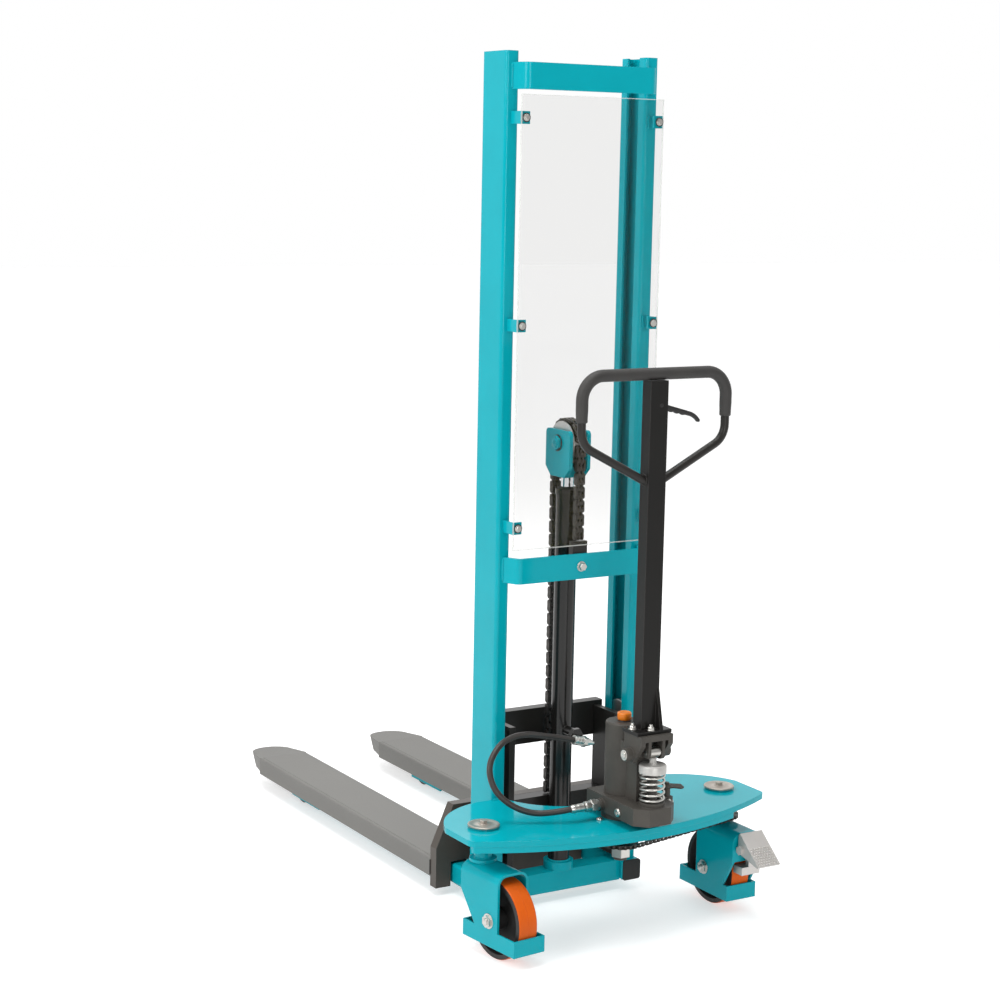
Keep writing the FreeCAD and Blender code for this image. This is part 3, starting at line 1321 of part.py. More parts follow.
def tiller_column():
    """Rectangular tube with its bolted flange, rear gusset and the slot of the hand lever."""
    top = "(loop_top - grip_radius - slide_gap)"
    floor = f"({COLUMN_FLOOR} + flange_wall)"
    tube = box("column_tube", ("-column_half", "-column_depth / 2", floor),
               ("2 * column_half", "column_depth", f"{top} - {floor}"))
    hollow = box("column_hollow", ("column_wall - column_half", "column_wall - column_depth / 2", floor),
                 ("2 * column_half - 2 * column_wall", "column_depth - 2 * column_wall",
                  f"{top} - {floor} - column_wall"))
    flange = box("column_flange", ("-flange_half", "-flange_rear", COLUMN_FLOOR),
                 ("2 * flange_half", "flange_front + flange_rear", "flange_wall"))
    gusset = pad("column_gusset", "YZ_Plane", "gusset_wall", [
        ("-column_depth / 2", floor), ("-flange_rear", floor),
        ("-column_depth / 2", f"{floor} + gusset_height")])
    seat(gusset, "column_half - gusset_wall")
    slot = box("lever_slot", ("0", "-lever_wall / 2 - slide_gap", "lever_height - lever_depth - slot_play"),
               ("column_half + overrun", "lever_wall + 2 * slide_gap", "2 * lever_depth + 2 * slot_play"))
    bore = rod("lever_bore", "lever_pin + fit_gap", "column_depth + 2 * overrun",
               ("lever_pivot", "-column_depth / 2 - overrun", "lever_height"), "y")
    shell = join("column_join", cut("column_shell", tube, hollow), flange, gusset)
    keep(cut("column_cut", shell, slot, bore), "tiller_column", y="-column_set")


def bent_wire(spots, bends):
    """A path of straight runs joined by tangent arcs of given radii."""
    curves = []
    here = spots[0]
    for before, corner, after, radius in zip(spots, spots[1:], spots[2:], bends):
        back = (before - corner).normalize()
        ahead = (after - corner).normalize()
        half_turn = (math.pi - back.getAngle(ahead)) / 2
        run = radius * math.tan(half_turn)
        entry = corner + back * run
        leave = corner + ahead * run
        middle = corner + (back + ahead).normalize() * (math.hypot(radius, run) - radius)
        curves += [Part.LineSegment(here, entry), Part.Arc(entry, middle, leave)]
        here = leave
    curves.append(Part.LineSegment(here, spots[-1]))
    return Part.Wire([curve.toShape() for curve in curves])


def tube_along(path, radius):
    """A round bar along a path, with the volume it should have printed beside it."""
    first = path.OrderedEdges[0]
    start = first.valueAt(first.FirstParameter)
    heading = first.tangentAt(first.FirstParameter)
    section = Part.Wire(Part.makeCircle(radius, start, heading))
    solid = path.makePipeShell([section], True, False)
    print("tube: volume share", round(solid.Volume / (math.pi * radius ** 2 * path.Length), 4))
    return solid


def tiller_loop():
    """Hand loop bent from round tube, with a rubber grip over its upper half."""
    half = measure("loop_half")
    top = measure("loop_top")
    knee = measure("loop_knee")
    side = measure("column_half")
    sink = measure("loop_joint") - LOOP_SINK_SHARE * side
    spots = [Vector(-side / 2, 0, sink), Vector(-half, 0, knee), Vector(-half, 0, top)]
    spots += [Vector(-spot.x, 0, spot.z) for spot in reversed(spots)]
    bends = [measure("loop_knee_bend"), measure("loop_top_bend")]
    path = bent_wire(spots, bends + bends[::-1])
    tube = shaped("loop_tube_bar", tube_along(path, measure("loop_tube")))
    core = box("loop_core", ("-column_half", "-column_depth / 2", "loop_joint - loop_half / 2"),
               ("2 * column_half", "column_depth", "loop_half"))
    keep(cut("loop_cut", tube, core), "tiller_loop", y="-column_set")
    end = measure("grip_end")
    grip_spots = [Vector(-half, 0, end), Vector(-half, 0, top), Vector(half, 0, top), Vector(half, 0, end)]
    path = bent_wire(grip_spots, bends[1:] * 2)
    outer = tube_along(path, measure("grip_radius"))
    inner = tube_along(path, measure("loop_tube + fit_gap"))
    keep(shaped("grip_sleeve", outer.cut(inner)), "tiller_grip", y="-column_set")


def release_lever():
    """Hand lever through the column's slot, on a pin across the tube."""
    reach = "lever_reach"
    bend = f"{LEVER_BEND_SHARE} * lever_reach"
    depth = "lever_depth"
    arm = pad("lever_arm", "XZ_Plane", "lever_wall", [
        ("-lever_hub", f"-{depth} / 2"), ("-lever_hub", f"{depth} / 2"), ("lever_hub", f"{depth} / 2"),
        (bend, f"{depth} / 2 - lever_drop / 2"), (f"{reach} - lever_hook / 2", f"{depth} / 2 - lever_drop"),
        (reach, "-lever_drop - lever_hook"), (f"{reach} - lever_hook / 2", "-lever_drop - lever_hook"),
        (f"{reach} - lever_hook", "-lever_drop"), (bend, f"-{depth} / 2 - lever_drop / 2"),
        ("lever_hub", f"-{depth} / 2")])
    seat(arm, y="-lever_wall / 2")
    fingers = []
    for share in FINGER_SHARES:
        fall = f"lever_drop / 2 * ({share} * lever_reach - lever_hub) / ({bend} - lever_hub)"
        fingers.append(rod(f"finger_{len(fingers)}", "finger_radius", "lever_wall + 2 * overrun",
                           (f"{share} * lever_reach", "-lever_wall / 2 - overrun",
                            f"finger_depth - finger_radius - lever_depth / 2 - {fall}"), "y"))
    pin = rod("lever_pin_bar", "lever_pin", "column_depth", ("0", "-column_depth / 2", "0"), "y")
    keep(join("lever_join", cut("lever_waves", arm, *fingers), pin), "release_lever",
         x="lever_pivot", y="-column_set", z="lever_height")


def valve_lever():
    """Small lever of the pump's lowering valve, on a post at the block's right shoulder."""
    half = "valve_width / 2"
    arm = pad("valve_arm", "XY_Plane", "valve_wall", [
        (f"-{half}", half), (f"-{half}", f"-{half}"), ("valve_reach / 2", "-valve_width"),
        ("valve_reach", "-2 * valve_width"), ("valve_reach + valve_width / 2", "-2 * valve_width"),
        ("valve_reach + valve_width / 2", "-valve_width"), (half, half)])
    bore = rod("valve_bore", "valve_pin + fit_gap", "valve_wall + 2 * overrun", ("0", "0", "-overrun"))
    keep(cut("valve_cut", arm, bore), "valve_lever", x="valve_across", y="-pump_set - valve_back",
         z=f"{BLOCK_TOP} + valve_rise + slide_gap")


def hose():
    """Hydraulic hose from the cylinder's port to the pump's side port."""
    spots = [Vector(*spot) for spot in HOSE_ROUTE]
    bends = []
    for before, corner, after in zip(spots, spots[1:], spots[2:]):
        turn = (corner - before).getAngle(after - corner)
        shorter = min((corner - before).Length, (after - corner).Length)
        bends.append(CORD_BEND_SHARE * shorter / math.tan(turn / 2))
    print("hose: radii", [round(radius) for radius in bends])
    path = bent_wire(spots, bends)
    print("hose: length", round(path.Length))
    keep(shaped("hose_tube", tube_along(path, measure("hose_radius"))), "hydraulic_hose")


def write_parts():
    """Check every object, then write one file for each node."""
    doc.recompute()
    failed = [item.Name for item in doc.Objects if {"Invalid", "Error"} & set(item.State)]
    failed += [item.Label for item in nodes if item.Shape.isNull() or not item.Shape.isValid()]
    if failed:
        raise RuntimeError("failed objects: " + ", ".join(failed))
    os.makedirs("parts", exist_ok=True)
    for item in nodes:
        item.Shape.exportStep(f"parts/{item.Label}.step")
        print(item.Label, len(item.Shape.Solids), round(item.Shape.Volume))


mast_rail("left_mast_rail", -1)
mast_rail("right_mast_rail", 1)
crossbar("top_crossbar", TOP_BAR_FLOOR)
crossbar("middle_crossbar", "middle_bar_floor")
screen()
screen_clips()
leg("left_leg", -1)
leg("right_leg", 1)
leg_fittings()
cross_tube()
cylinder()
piston()
lift_chain()
chain_anchor()
carriage()
heel_plate()
fork("left_fork", -1)
fork("right_fork", 1)
base_plate()
king_pin_discs()
casters()
brake()
steering_chain()
pump()
plunger()
pump_spring()
tiller_bracket()
tiller_column()
tiller_loop()
release_lever()
valve_lever()
hose()
write_parts()
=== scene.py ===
import math

import bmesh
import bpy
from mathutils import Matrix, Vector


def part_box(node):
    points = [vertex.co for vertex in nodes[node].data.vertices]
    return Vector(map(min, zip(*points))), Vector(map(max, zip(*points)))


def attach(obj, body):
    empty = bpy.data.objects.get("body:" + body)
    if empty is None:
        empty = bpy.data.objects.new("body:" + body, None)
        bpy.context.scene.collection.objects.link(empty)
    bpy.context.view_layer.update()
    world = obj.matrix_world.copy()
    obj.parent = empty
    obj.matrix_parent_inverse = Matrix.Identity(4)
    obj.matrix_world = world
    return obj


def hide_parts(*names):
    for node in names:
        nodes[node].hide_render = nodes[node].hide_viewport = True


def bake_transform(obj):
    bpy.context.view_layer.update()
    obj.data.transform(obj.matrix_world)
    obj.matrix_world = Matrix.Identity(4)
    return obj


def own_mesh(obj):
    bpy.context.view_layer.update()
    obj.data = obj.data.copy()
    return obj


# Looks of the hand pallet stacker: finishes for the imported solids, and finer meshes for the hose,
# chains, spring, grip, treads, caps, fasteners and welds. Lengths are in metres.

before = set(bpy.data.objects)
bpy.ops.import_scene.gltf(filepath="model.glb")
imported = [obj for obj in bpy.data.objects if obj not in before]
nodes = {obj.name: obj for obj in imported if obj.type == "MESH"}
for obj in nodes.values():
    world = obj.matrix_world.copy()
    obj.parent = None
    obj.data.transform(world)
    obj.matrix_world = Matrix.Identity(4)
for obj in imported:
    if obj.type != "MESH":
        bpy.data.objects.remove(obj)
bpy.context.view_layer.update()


def middle(node):
    """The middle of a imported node's box."""
    low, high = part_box(node)
    return (low + high) / 2


# Places that pieces are set out from, starting with the mast's rear face
MAST_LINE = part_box("left_mast_rail")[0].y
PUMP = middle("pump_sprocket")
CASTER = middle("caster_sprocket")
PULLEY = middle("chain_pulley")
COLUMN_Y = middle("tiller_loop").y
PLATE_TOP = 0.275
POST_AWAY = 0.072
X_AXIS = Vector((1, 0, 0))
Y_AXIS = Vector((0, 1, 0))
Z_AXIS = Vector((0, 0, 1))
LEFT_AXIS = Matrix.Rotation(math.radians(6), 3, "Z") @ X_AXIS

# Points of the hose's route, with Y from the mast's rear face
HOSE_ROUTE = [
    (-0.011, -0.048, 0.407), (-0.050, -0.052, 0.418), (-0.112, -0.058, 0.433), (-0.162, -0.075, 0.446),
    (-0.210, -0.091, 0.450), (-0.257, -0.110, 0.440), (-0.296, -0.130, 0.402), (-0.292, -0.150, 0.351),
    (-0.256, -0.170, 0.314), (-0.213, -0.192, 0.297), (-0.172, -0.213, 0.300), (-0.136, -0.230, 0.307),
    (-0.0998, -0.232, 0.3083),
]
HOSE_RADIUS = 0.007

# Colours
TEAL = (0.001, 0.315, 0.374)
# Edge colours, lighter than their paint: partly wear, partly a painted highlight along the edges
TEAL_EDGE = (0.03, 0.42, 0.48)
DARK = (0.020, 0.0188, 0.0172)
# Darker copy of the dark enamel for the column and the cylinder: painted shade
SHADED_DARK = (0.0088, 0.0083, 0.0076)
# Lighter, warmer copy of the dark enamel for the heel plate: painted light for its face lit from the left
HEEL_LIT = (0.056, 0.048, 0.041)
DARK_EDGE = (0.075, 0.070, 0.066)
GREY = (0.155, 0.152, 0.143)
GREY_EDGE = (0.26, 0.255, 0.24)
GREY_SPECK = (0.105, 0.103, 0.097)
CAST = (0.049, 0.0445, 0.0382)
CAST_EDGE = (0.10, 0.095, 0.09)
STEEL = (0.50, 0.50, 0.49)
ZINC = (0.52, 0.51, 0.48)
SATIN = (0.46, 0.45, 0.43)
DISC = (0.37, 0.335, 0.295)
CHROME = (0.75, 0.76, 0.78)
CHAIN = (0.060, 0.054, 0.050)
ORANGE = (0.57, 0.090, 0.0032)
ORANGE_SPECK = (0.34, 0.060, 0.010)
CAP_ORANGE = (0.60, 0.155, 0.005)
BLACK = (0.012, 0.0115, 0.011)
HOSE = (0.026, 0.0215, 0.019)
GRIP = (0.030, 0.0285, 0.027)
PEDAL = (0.52, 0.50, 0.48)
SHEET = (0.04, 0.036, 0.004)
# Pale sheet edge: partly frosted acrylic, partly a painted highlight
SHEET_RIM_FROST_AND_HIGHLIGHT = (0.72, 0.74, 0.71)
PALE = (0.58, 0.58, 0.58)


# Materials

# Sockets of a colour mix node
MIX_SHARE, MIX_UNDER, MIX_OVER, MIX_RESULT = 0, 6, 7, 2
# Scales of a surface's noises, as shares of its grain
CLOUD_SHARE = 0.12
FINE_SHARE = 8
SPECK_SHARE = 22
RELIEF_DEPTH = 0.0006
# Share of the colour kept in the painted shade on faces that point down
DOWN_FACING_SHADE_SHARE = 0.45
LEAST_ROUGH = 0.03
BEVEL_SAMPLES = 4
# Reach and breakup of the lightened edges: wear and a painted highlight
EDGE_LIGHTENING_REACH = 0.0022
EDGE_LIGHTENING_BREAKUP = 0.10
ACRYLIC_IOR = 1.49


def add(tree, kind, **inputs):
    """A shader node with some of its inputs set, or linked where a socket is given."""
    node = tree.nodes.new(kind)
    for name, value in inputs.items():
        socket = node.inputs[name.replace("_", " ")]
        if isinstance(value, bpy.types.NodeSocket):
            tree.links.new(value, socket)
        else:
            socket.default_value = value
    return node


def tint(colour, factor):
    """A colour made lighter or darker, with full alpha."""
    return tuple(min(1, part * factor) for part in colour) + (1,)


def mixed(tree, share, shade, colour):
    """A colour mixed over a shade by a share that varies on the surface."""
    mix = add(tree, "ShaderNodeMix")
    mix.data_type = "RGBA"
    mix.inputs[MIX_OVER].default_value = tint(colour, 1)
    tree.links.new(share, mix.inputs[MIX_SHARE])
    tree.links.new(shade, mix.inputs[MIX_UNDER])
    return mix.outputs[MIX_RESULT]


def edge_lightening_share(tree, clouds):
    """How much an edge is lightened by wear and a painted highlight: where the rounded normal turns from the
    flat one, broken up by clouds.
    """
    flat = add(tree, "ShaderNodeNewGeometry")
    wide = add(tree, "ShaderNodeBevel", Radius=EDGE_LIGHTENING_REACH)
    wide.samples = BEVEL_SAMPLES
    turn = add(tree, "ShaderNodeVectorMath")
    turn.operation = "DOT_PRODUCT"
    tree.links.new(flat.outputs["True Normal"], turn.inputs[0])
    tree.links.new(wide.outputs["Normal"], turn.inputs[1])
    breakup = add(tree, "ShaderNodeMath")
    breakup.operation = "MULTIPLY_ADD"
    breakup.inputs[1].default_value = EDGE_LIGHTENING_BREAKUP
    tree.links.new(clouds, breakup.inputs[0])
    tree.links.new(turn.outputs["Value"], breakup.inputs[2])
    # Share of the lightened edge colour: wear and a painted highlight
    worn = add(tree, "ShaderNodeMapRange", Value=breakup.outputs["Value"], From_Min=0.93, From_Max=0.80,
               To_Max=0.8)
    return worn.outputs["Result"]


def under_share(tree, amount):
    """How much painted shade a surface gets for facing down, up to an amount."""
    facing = add(tree, "ShaderNodeNewGeometry")
    split = add(tree, "ShaderNodeSeparateXYZ", Vector=facing.outputs["Normal"])
    under = add(tree, "ShaderNodeMapRange", Value=split.outputs["Z"], From_Min=0.2, From_Max=-0.9,
                To_Max=amount)
    return under.outputs["Result"]


def surface(name, colour, rough=0.4, metal=0.0, grain=60, spread=0.10, bump=0.06, edge=None, underside_shade=0.0,
            speck=None, rough_spread=0.10, bevel=0.0012, specular=0.5):
    """A surface with cloudy colour, uneven gloss, fine relief and eased edges.

    edge is the colour of lightened edges, partly wear and partly a painted highlight; the underside amount
    is painted shade that darkens what faces down; speck adds fine dots.
    """
    material = bpy.data.materials.new(name)
    material.use_nodes = True
    tree = material.node_tree
    links = tree.links
    shader = tree.nodes["Principled BSDF"]
    shader.inputs["Metallic"].default_value = metal
    shader.inputs["Specular IOR Level"].default_value = specular
    place = add(tree, "ShaderNodeTexCoord").outputs["Object"]
    clouds = add(tree, "ShaderNodeTexNoise", Vector=place, Scale=grain * CLOUD_SHARE, Detail=5.0,
                 Roughness=0.6).outputs["Fac"]
    fine = add(tree, "ShaderNodeTexNoise", Vector=place, Scale=grain * FINE_SHARE, Detail=4.0,
               Roughness=0.55).outputs["Fac"]
    ramp = add(tree, "ShaderNodeValToRGB", Fac=clouds)
    low, high = ramp.color_ramp.elements
    low.position, high.position = 0.3, 0.7
    low.color, high.color = tint(colour, 1 - spread), tint(colour, 1 + spread)
    shade = ramp.outputs["Color"]
    if speck:
        dots = add(tree, "ShaderNodeTexNoise", Vector=place, Scale=grain * SPECK_SHARE, Detail=2.0,
                   Roughness=0.5)
        limit = add(tree, "ShaderNodeMapRange", Value=dots.outputs["Fac"], From_Min=0.60, From_Max=0.68)
        shade = mixed(tree, limit.outputs["Result"], shade, speck)
    # Edges lightened by wear and a painted highlight
    if edge:
        shade = mixed(tree, edge_lightening_share(tree, clouds), shade, edge)
    # Painted shade: faces that point down are mixed towards a darker copy of the colour
    if underside_shade:
        down_facing_shade_colour = tint(colour, DOWN_FACING_SHADE_SHARE)[:3]
        shade = mixed(tree, under_share(tree, underside_shade), shade, down_facing_shade_colour)
    links.new(shade, shader.inputs["Base Color"])
    gloss = add(tree, "ShaderNodeMapRange", Value=clouds, To_Min=max(LEAST_ROUGH, rough - rough_spread),
                To_Max=rough + rough_spread)
    links.new(gloss.outputs["Result"], shader.inputs["Roughness"])
    relief = add(tree, "ShaderNodeBump", Height=fine, Strength=bump, Distance=RELIEF_DEPTH)
    if bevel:
        eased = add(tree, "ShaderNodeBevel", Radius=bevel)
        eased.samples = BEVEL_SAMPLES
        links.new(eased.outputs["Normal"], relief.inputs["Normal"])
    links.new(relief.outputs["Normal"], shader.inputs["Normal"])
    return material


def clear_sheet(name, colour, share, rough):
    """Clear acrylic: mostly see-through, with a faint tint, soft smears and a gloss."""
    material = surface(name, colour, rough=rough, bump=0.004, grain=30, spread=0.05, rough_spread=0.05,
                       bevel=0)
    shader = material.node_tree.nodes["Principled BSDF"]
    shader.inputs["Alpha"].default_value = share
    shader.inputs["IOR"].default_value = ACRYLIC_IOR
    material.surface_render_method = "BLENDED"
    return material


# The teal, fork grey and orange tread get painted shade on faces that point down, by their underside amounts
teal = surface("teal_enamel", TEAL, rough=0.11, grain=40, spread=0.05, bump=0.03, edge=TEAL_EDGE,
               underside_shade=0.5, rough_spread=0.04, bevel=0.0020, specular=0.14)
dark = surface("dark_enamel", DARK, rough=0.32, grain=50, spread=0.12, bump=0.10, edge=DARK_EDGE,
               specular=0.20)
# Column: the dark enamel made darker, as painted shade
column_shaded_dark = surface("column_shaded_enamel", SHADED_DARK, rough=0.34, grain=50, spread=0.12, bump=0.10,
                      edge=DARK_EDGE, specular=0.18)
# Cylinder: glossier, on the darker copy of the dark enamel, as painted shade
gloss_shaded_dark = surface("gloss_shaded_enamel", SHADED_DARK, rough=0.20, grain=50, spread=0.12, bump=0.05,
                     edge=DARK_EDGE, rough_spread=0.06, specular=0.36)
# Heel plate: the lit copy of the dark enamel, as painted light
heel_lit_dark = surface("heel_lit_enamel", HEEL_LIT, rough=0.36, grain=50, spread=0.12, bump=0.10, edge=CAST_EDGE,
                    specular=0.20)
grey = surface("fork_grey", GREY, rough=0.50, grain=45, spread=0.07, bump=0.12, edge=GREY_EDGE, underside_shade=0.5,
               speck=GREY_SPECK, specular=0.15)
cast = surface("dark_casting", CAST, rough=0.52, grain=90, spread=0.20, bump=0.45, edge=CAST_EDGE,
               bevel=0.002, specular=0.30)
steel = surface("machined_steel", STEEL, rough=0.36, metal=1.0, grain=80)
zinc = surface("zinc_plate", ZINC, rough=0.34, metal=1.0, grain=70, bump=0.08)
satin = surface("satin_zinc", SATIN, rough=0.46, metal=0.55, grain=90, bump=0.10)
chrome = surface("ground_chrome", CHROME, rough=0.13, metal=1.0, grain=60, spread=0.04, bump=0.02,
                 rough_spread=0.05)
chain_steel = surface("oiled_chain", CHAIN, rough=0.38, metal=0.7, grain=120, spread=0.25, bump=0.10)
tread = surface("orange_tread", ORANGE, rough=0.46, grain=70, spread=0.08, bump=0.14, underside_shade=0.3,
                speck=ORANGE_SPECK, specular=0.15)
disc_steel = surface("rolled_steel", DISC, rough=0.42, metal=0.7, grain=50, bump=0.08)
hose_rubber = surface("hose_rubber", HOSE, rough=0.45, grain=150, spread=0.16, bump=0.20, specular=0.4)
rubber = surface("black_rubber", BLACK, rough=0.48, grain=150, spread=0.20, bump=0.25, specular=0.4)
soft_grip = surface("soft_grip", GRIP, rough=0.58, grain=200, spread=0.14, bump=0.40, specular=0.35)
plastic = surface("black_plastic", BLACK, rough=0.46, grain=140, spread=0.18, bump=0.30, specular=0.4)
cap_plastic = surface("orange_plastic", CAP_ORANGE, rough=0.32, grain=90, spread=0.06, bump=0.06,
                      specular=0.3)
pedal_zinc = surface("worn_zinc", PEDAL, rough=0.42, metal=0.85, grain=60, spread=0.08, bump=0.10)
clear = clear_sheet("clear_acrylic", SHEET, 0.08, 0.12)
# Pale edge strip: frosted acrylic and a painted highlight
sheet_rim_frost_and_highlight = clear_sheet("sawn_acrylic_and_highlight", SHEET_RIM_FROST_AND_HIGHLIGHT, 0.32, 0.40)

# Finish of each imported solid, those included that finer pieces stand for below
FINISHES = {
    teal: "left_mast_rail right_mast_rail top_crossbar middle_crossbar screen_clips base_plate "
          "base_cross_tube left_leg right_leg pulley_yoke pulley_pin left_caster_yoke right_caster_yoke",
    dark: "carriage_side_plates carriage_bars chain_anchor tiller_loop",
    heel_lit_dark: "heel_plate",
    column_shaded_dark: "tiller_column",
    gloss_shaded_dark: "cylinder_tube",
    grey: "left_fork right_fork",
    cast: "pump_block pump_reservoir tiller_bracket valve_lever",
    steel: "load_roller_axles roller_stubs lower_rollers upper_rollers chain_pulley pump_spring",
    zinc: "mast_bolts king_pin_discs king_nut tiller_pin left_axle right_axle pump_plunger cam_roller",
    pedal_zinc: "brake_pedal",
    chrome: "piston_rod",
    chain_steel: "lift_chain_front lift_chain_rear lift_chain_wrap steering_chain pump_sprocket "
                 "caster_sprocket",
    tread: "left_tyre right_tyre",
    hose_rubber: "hydraulic_hose",
    soft_grip: "tiller_grip",
    plastic: "leg_end_caps left_load_roller right_load_roller release_lever left_wheel right_wheel",
    clear: "clear_screen",
    cap_plastic: "filler_cap",
}
for finish, names in FINISHES.items():
    for name in names.split():
        mesh = nodes[name].data
        mesh.materials.clear()
        mesh.materials.append(finish)


# Mesh helpers

def new_piece(name, maker, material, body, smooth=35, replaced=()):
    """An object from a function that fills a bmesh, riding on a body."""
    mesh = bpy.data.meshes.new(name)
    shape = bmesh.new()
    maker(shape)
    bmesh.ops.recalc_face_normals(shape, faces=shape.faces)
    shape.to_mesh(mesh)
    shape.free()
    mesh.shade_smooth()
    mesh.set_sharp_from_angle(angle=math.radians(smooth))
    mesh.materials.append(material)
    piece = bpy.data.objects.new(name, mesh)
    bpy.context.scene.collection.objects.link(piece)
    if body:
        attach(piece, body)
    if replaced:
        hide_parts(*replaced)
    return piece


def skin(shape, rings, closed=False):
    """Faces between rings of equal count, with end caps or joined into a closed band."""
    count = len(rings[0])
    pairs = list(zip(rings, rings[1:]))
    if closed:
        pairs.append((rings[-1], rings[0]))
    for low, high in pairs:
        for number in range(count):
            following = (number + 1) % count
            shape.faces.new((low[number], low[following], high[following], high[number]))
    if not closed:
        shape.faces.new(rings[0][::-1])
        shape.faces.new(rings[-1])


def along(axis, place):
    """A matrix that takes +Z to an axis, at a place."""
    turn = Z_AXIS.rotation_difference(Vector(axis)).to_matrix().to_4x4()
    return Matrix.Translation(place) @ turn


def circle(radius, height, sides):
    """Corners of a level ring round the Z axis."""
    angles = [2 * math.pi * side / sides for side in range(sides)]
    return [Vector((radius * math.cos(angle), radius * math.sin(angle), height)) for angle in angles]


def stack(shape, matrix, stations, sides=24):
    """A round or many-sided solid along the matrix's Z axis, from (radius, height) stations."""
    skin(shape, [[shape.verts.new(matrix @ corner) for corner in circle(radius, height, sides)]
                 for radius, height in stations])


def lathe(shape, matrix, profile, segments=48):
    """A ring about the matrix's Z axis, from a closed profile of (radius, height) corners."""
    rings = []
    for number in range(segments):
        turn = Matrix.Rotation(2 * math.pi * number / segments, 4, "Z")
        rings.append([shape.verts.new(matrix @ turn @ Vector((radius, 0, height)))
                      for radius, height in profile])
    skin(shape, rings, closed=True)


def bar(shape, matrix, radius, low, high, sides=24, ease=0.0005):
    """A round or many-sided bar along the matrix's Z axis with eased ends."""
    stack(shape, matrix, [(radius - ease, low), (radius, low + ease), (radius, high - ease),
                          (radius - ease, high)], sides)


def washer(shape, matrix, inner, outer, low, high, ease=0.0003):
    """A flat ring with eased outer edges."""
    lathe(shape, matrix, [(inner, low), (outer - ease, low), (outer, low + ease), (outer, high - ease),
                          (outer - ease, high), (inner, high)])


def hex_bolt(shape, matrix, radius, height, stud=0.0):
    """A hexagon head on a washer, with an end ridged like a thread above it where stud is given."""
    thick, rise = 0.0014, 0.0011
    bore, rim = 0.45 * radius, 1.24 * radius
    root, crest, tip = 0.54 * radius, 0.61 * radius, 0.46 * radius
    washer(shape, matrix, bore, rim, 0, thick)
    stack(shape, matrix, [(radius, 0.8 * thick), (radius, 0.88 * height), (0.90 * radius, height)], 6)
    if stud:
        count = int(stud / rise)
        turns = [(root if number % 2 else crest, 0.9 * height + rise * number)
                 for number in range(count + 1)]
        stack(shape, matrix, turns + [(tip, turns[-1][1] + 0.6 * rise)], 20)


def socket_screw(shape, matrix, radius, height):
    """A round head with a domed edge and a sunk round socket."""
    stack(shape, matrix, [
        (radius, -0.0002), (radius, 0.5 * height), (0.92 * radius, 0.8 * height), (0.78 * radius, height),
        (0.46 * radius, height), (0.42 * radius, 0.35 * height)], 30)


def tube(shape, points, section, sides=20):
    """A tube along points, with a radius for each point."""
    rings = []
    up = None
    for number, point in enumerate(points):
        before = points[max(0, number - 1)]
        after = points[min(len(points) - 1, number + 1)]
        ahead = (after - before).normalized()
        if up is None:
            up = ahead.orthogonal().normalized()
        up = (up - ahead * up.dot(ahead)).normalized()
        aside = ahead.cross(up)
        rings.append([shape.verts.new(point + up * corner.x + aside * corner.y)
                      for corner in circle(section(number), 0, sides)])
    skin(shape, rings)


RIPPLE = 0.0045
RIPPLE_STEPS = 4
RIPPLE_SHARE = 0.14


def rippled(radius, number):
    """A weld bead's radius at a step: it swells once for each ripple."""
    swell = abs(math.sin(math.pi * number / RIPPLE_STEPS))
    return radius * (1 - RIPPLE_SHARE + RIPPLE_SHARE * swell)


def bead(shape, start, end, radius):
    """A weld bead between two places, with overlapping ripples and tapered ends."""
    start = Vector(start)
    run = Vector(end) - start
    count = max(6, int(run.length / RIPPLE * RIPPLE_STEPS))
    points = [start + run * number / count for number in range(count + 1)]
    end_share, gain_share = 0.35, 0.25

    def section(number):
        taper = min(1, end_share + gain_share * min(number, count - number))
        return taper * rippled(radius, number)
    tube(shape, points, section, 10)


def ring_bead(shape, centre, first, second, radius, count, sides):
    """A weld bead round an oval, whose half axes are two vectors."""
    outer, upper = first.normalized(), second.normalized()
    normal = outer.cross(upper)
    rings = []
    for number in range(count):
        angle = 2 * math.pi * number / count
        place = Vector(centre) + first * math.cos(angle) + second * math.sin(angle)
        outward = outer * math.cos(angle) + upper * math.sin(angle)
        rings.append([shape.verts.new(place + outward * corner.x + normal * corner.y)
                      for corner in circle(rippled(radius, number), 0, sides)])
    skin(shape, rings, closed=True)


def rounded_path(corners, radius):
    """Points along straight runs joined by arcs."""
    step = 0.004
    points = [corners[0]]
    for before, corner, after in zip(corners, corners[1:], corners[2:]):
        back = (before - corner).normalized()
        ahead = (after - corner).normalized()
        half = (math.pi - back.angle(ahead)) / 2
        run = radius * math.tan(half)
        centre = corner + (back + ahead).normalized() * math.hypot(radius, run)
        start = corner + back * run - centre
        normal = start.cross(corner + ahead * run - centre).normalized()
        count = max(4, int(2 * half * radius / step))
        for number in range(count + 1):
            points.append(centre + Matrix.Rotation(2 * half * number / count, 3, normal) @ start)
    points.append(corners[-1])
    return points


# Camera

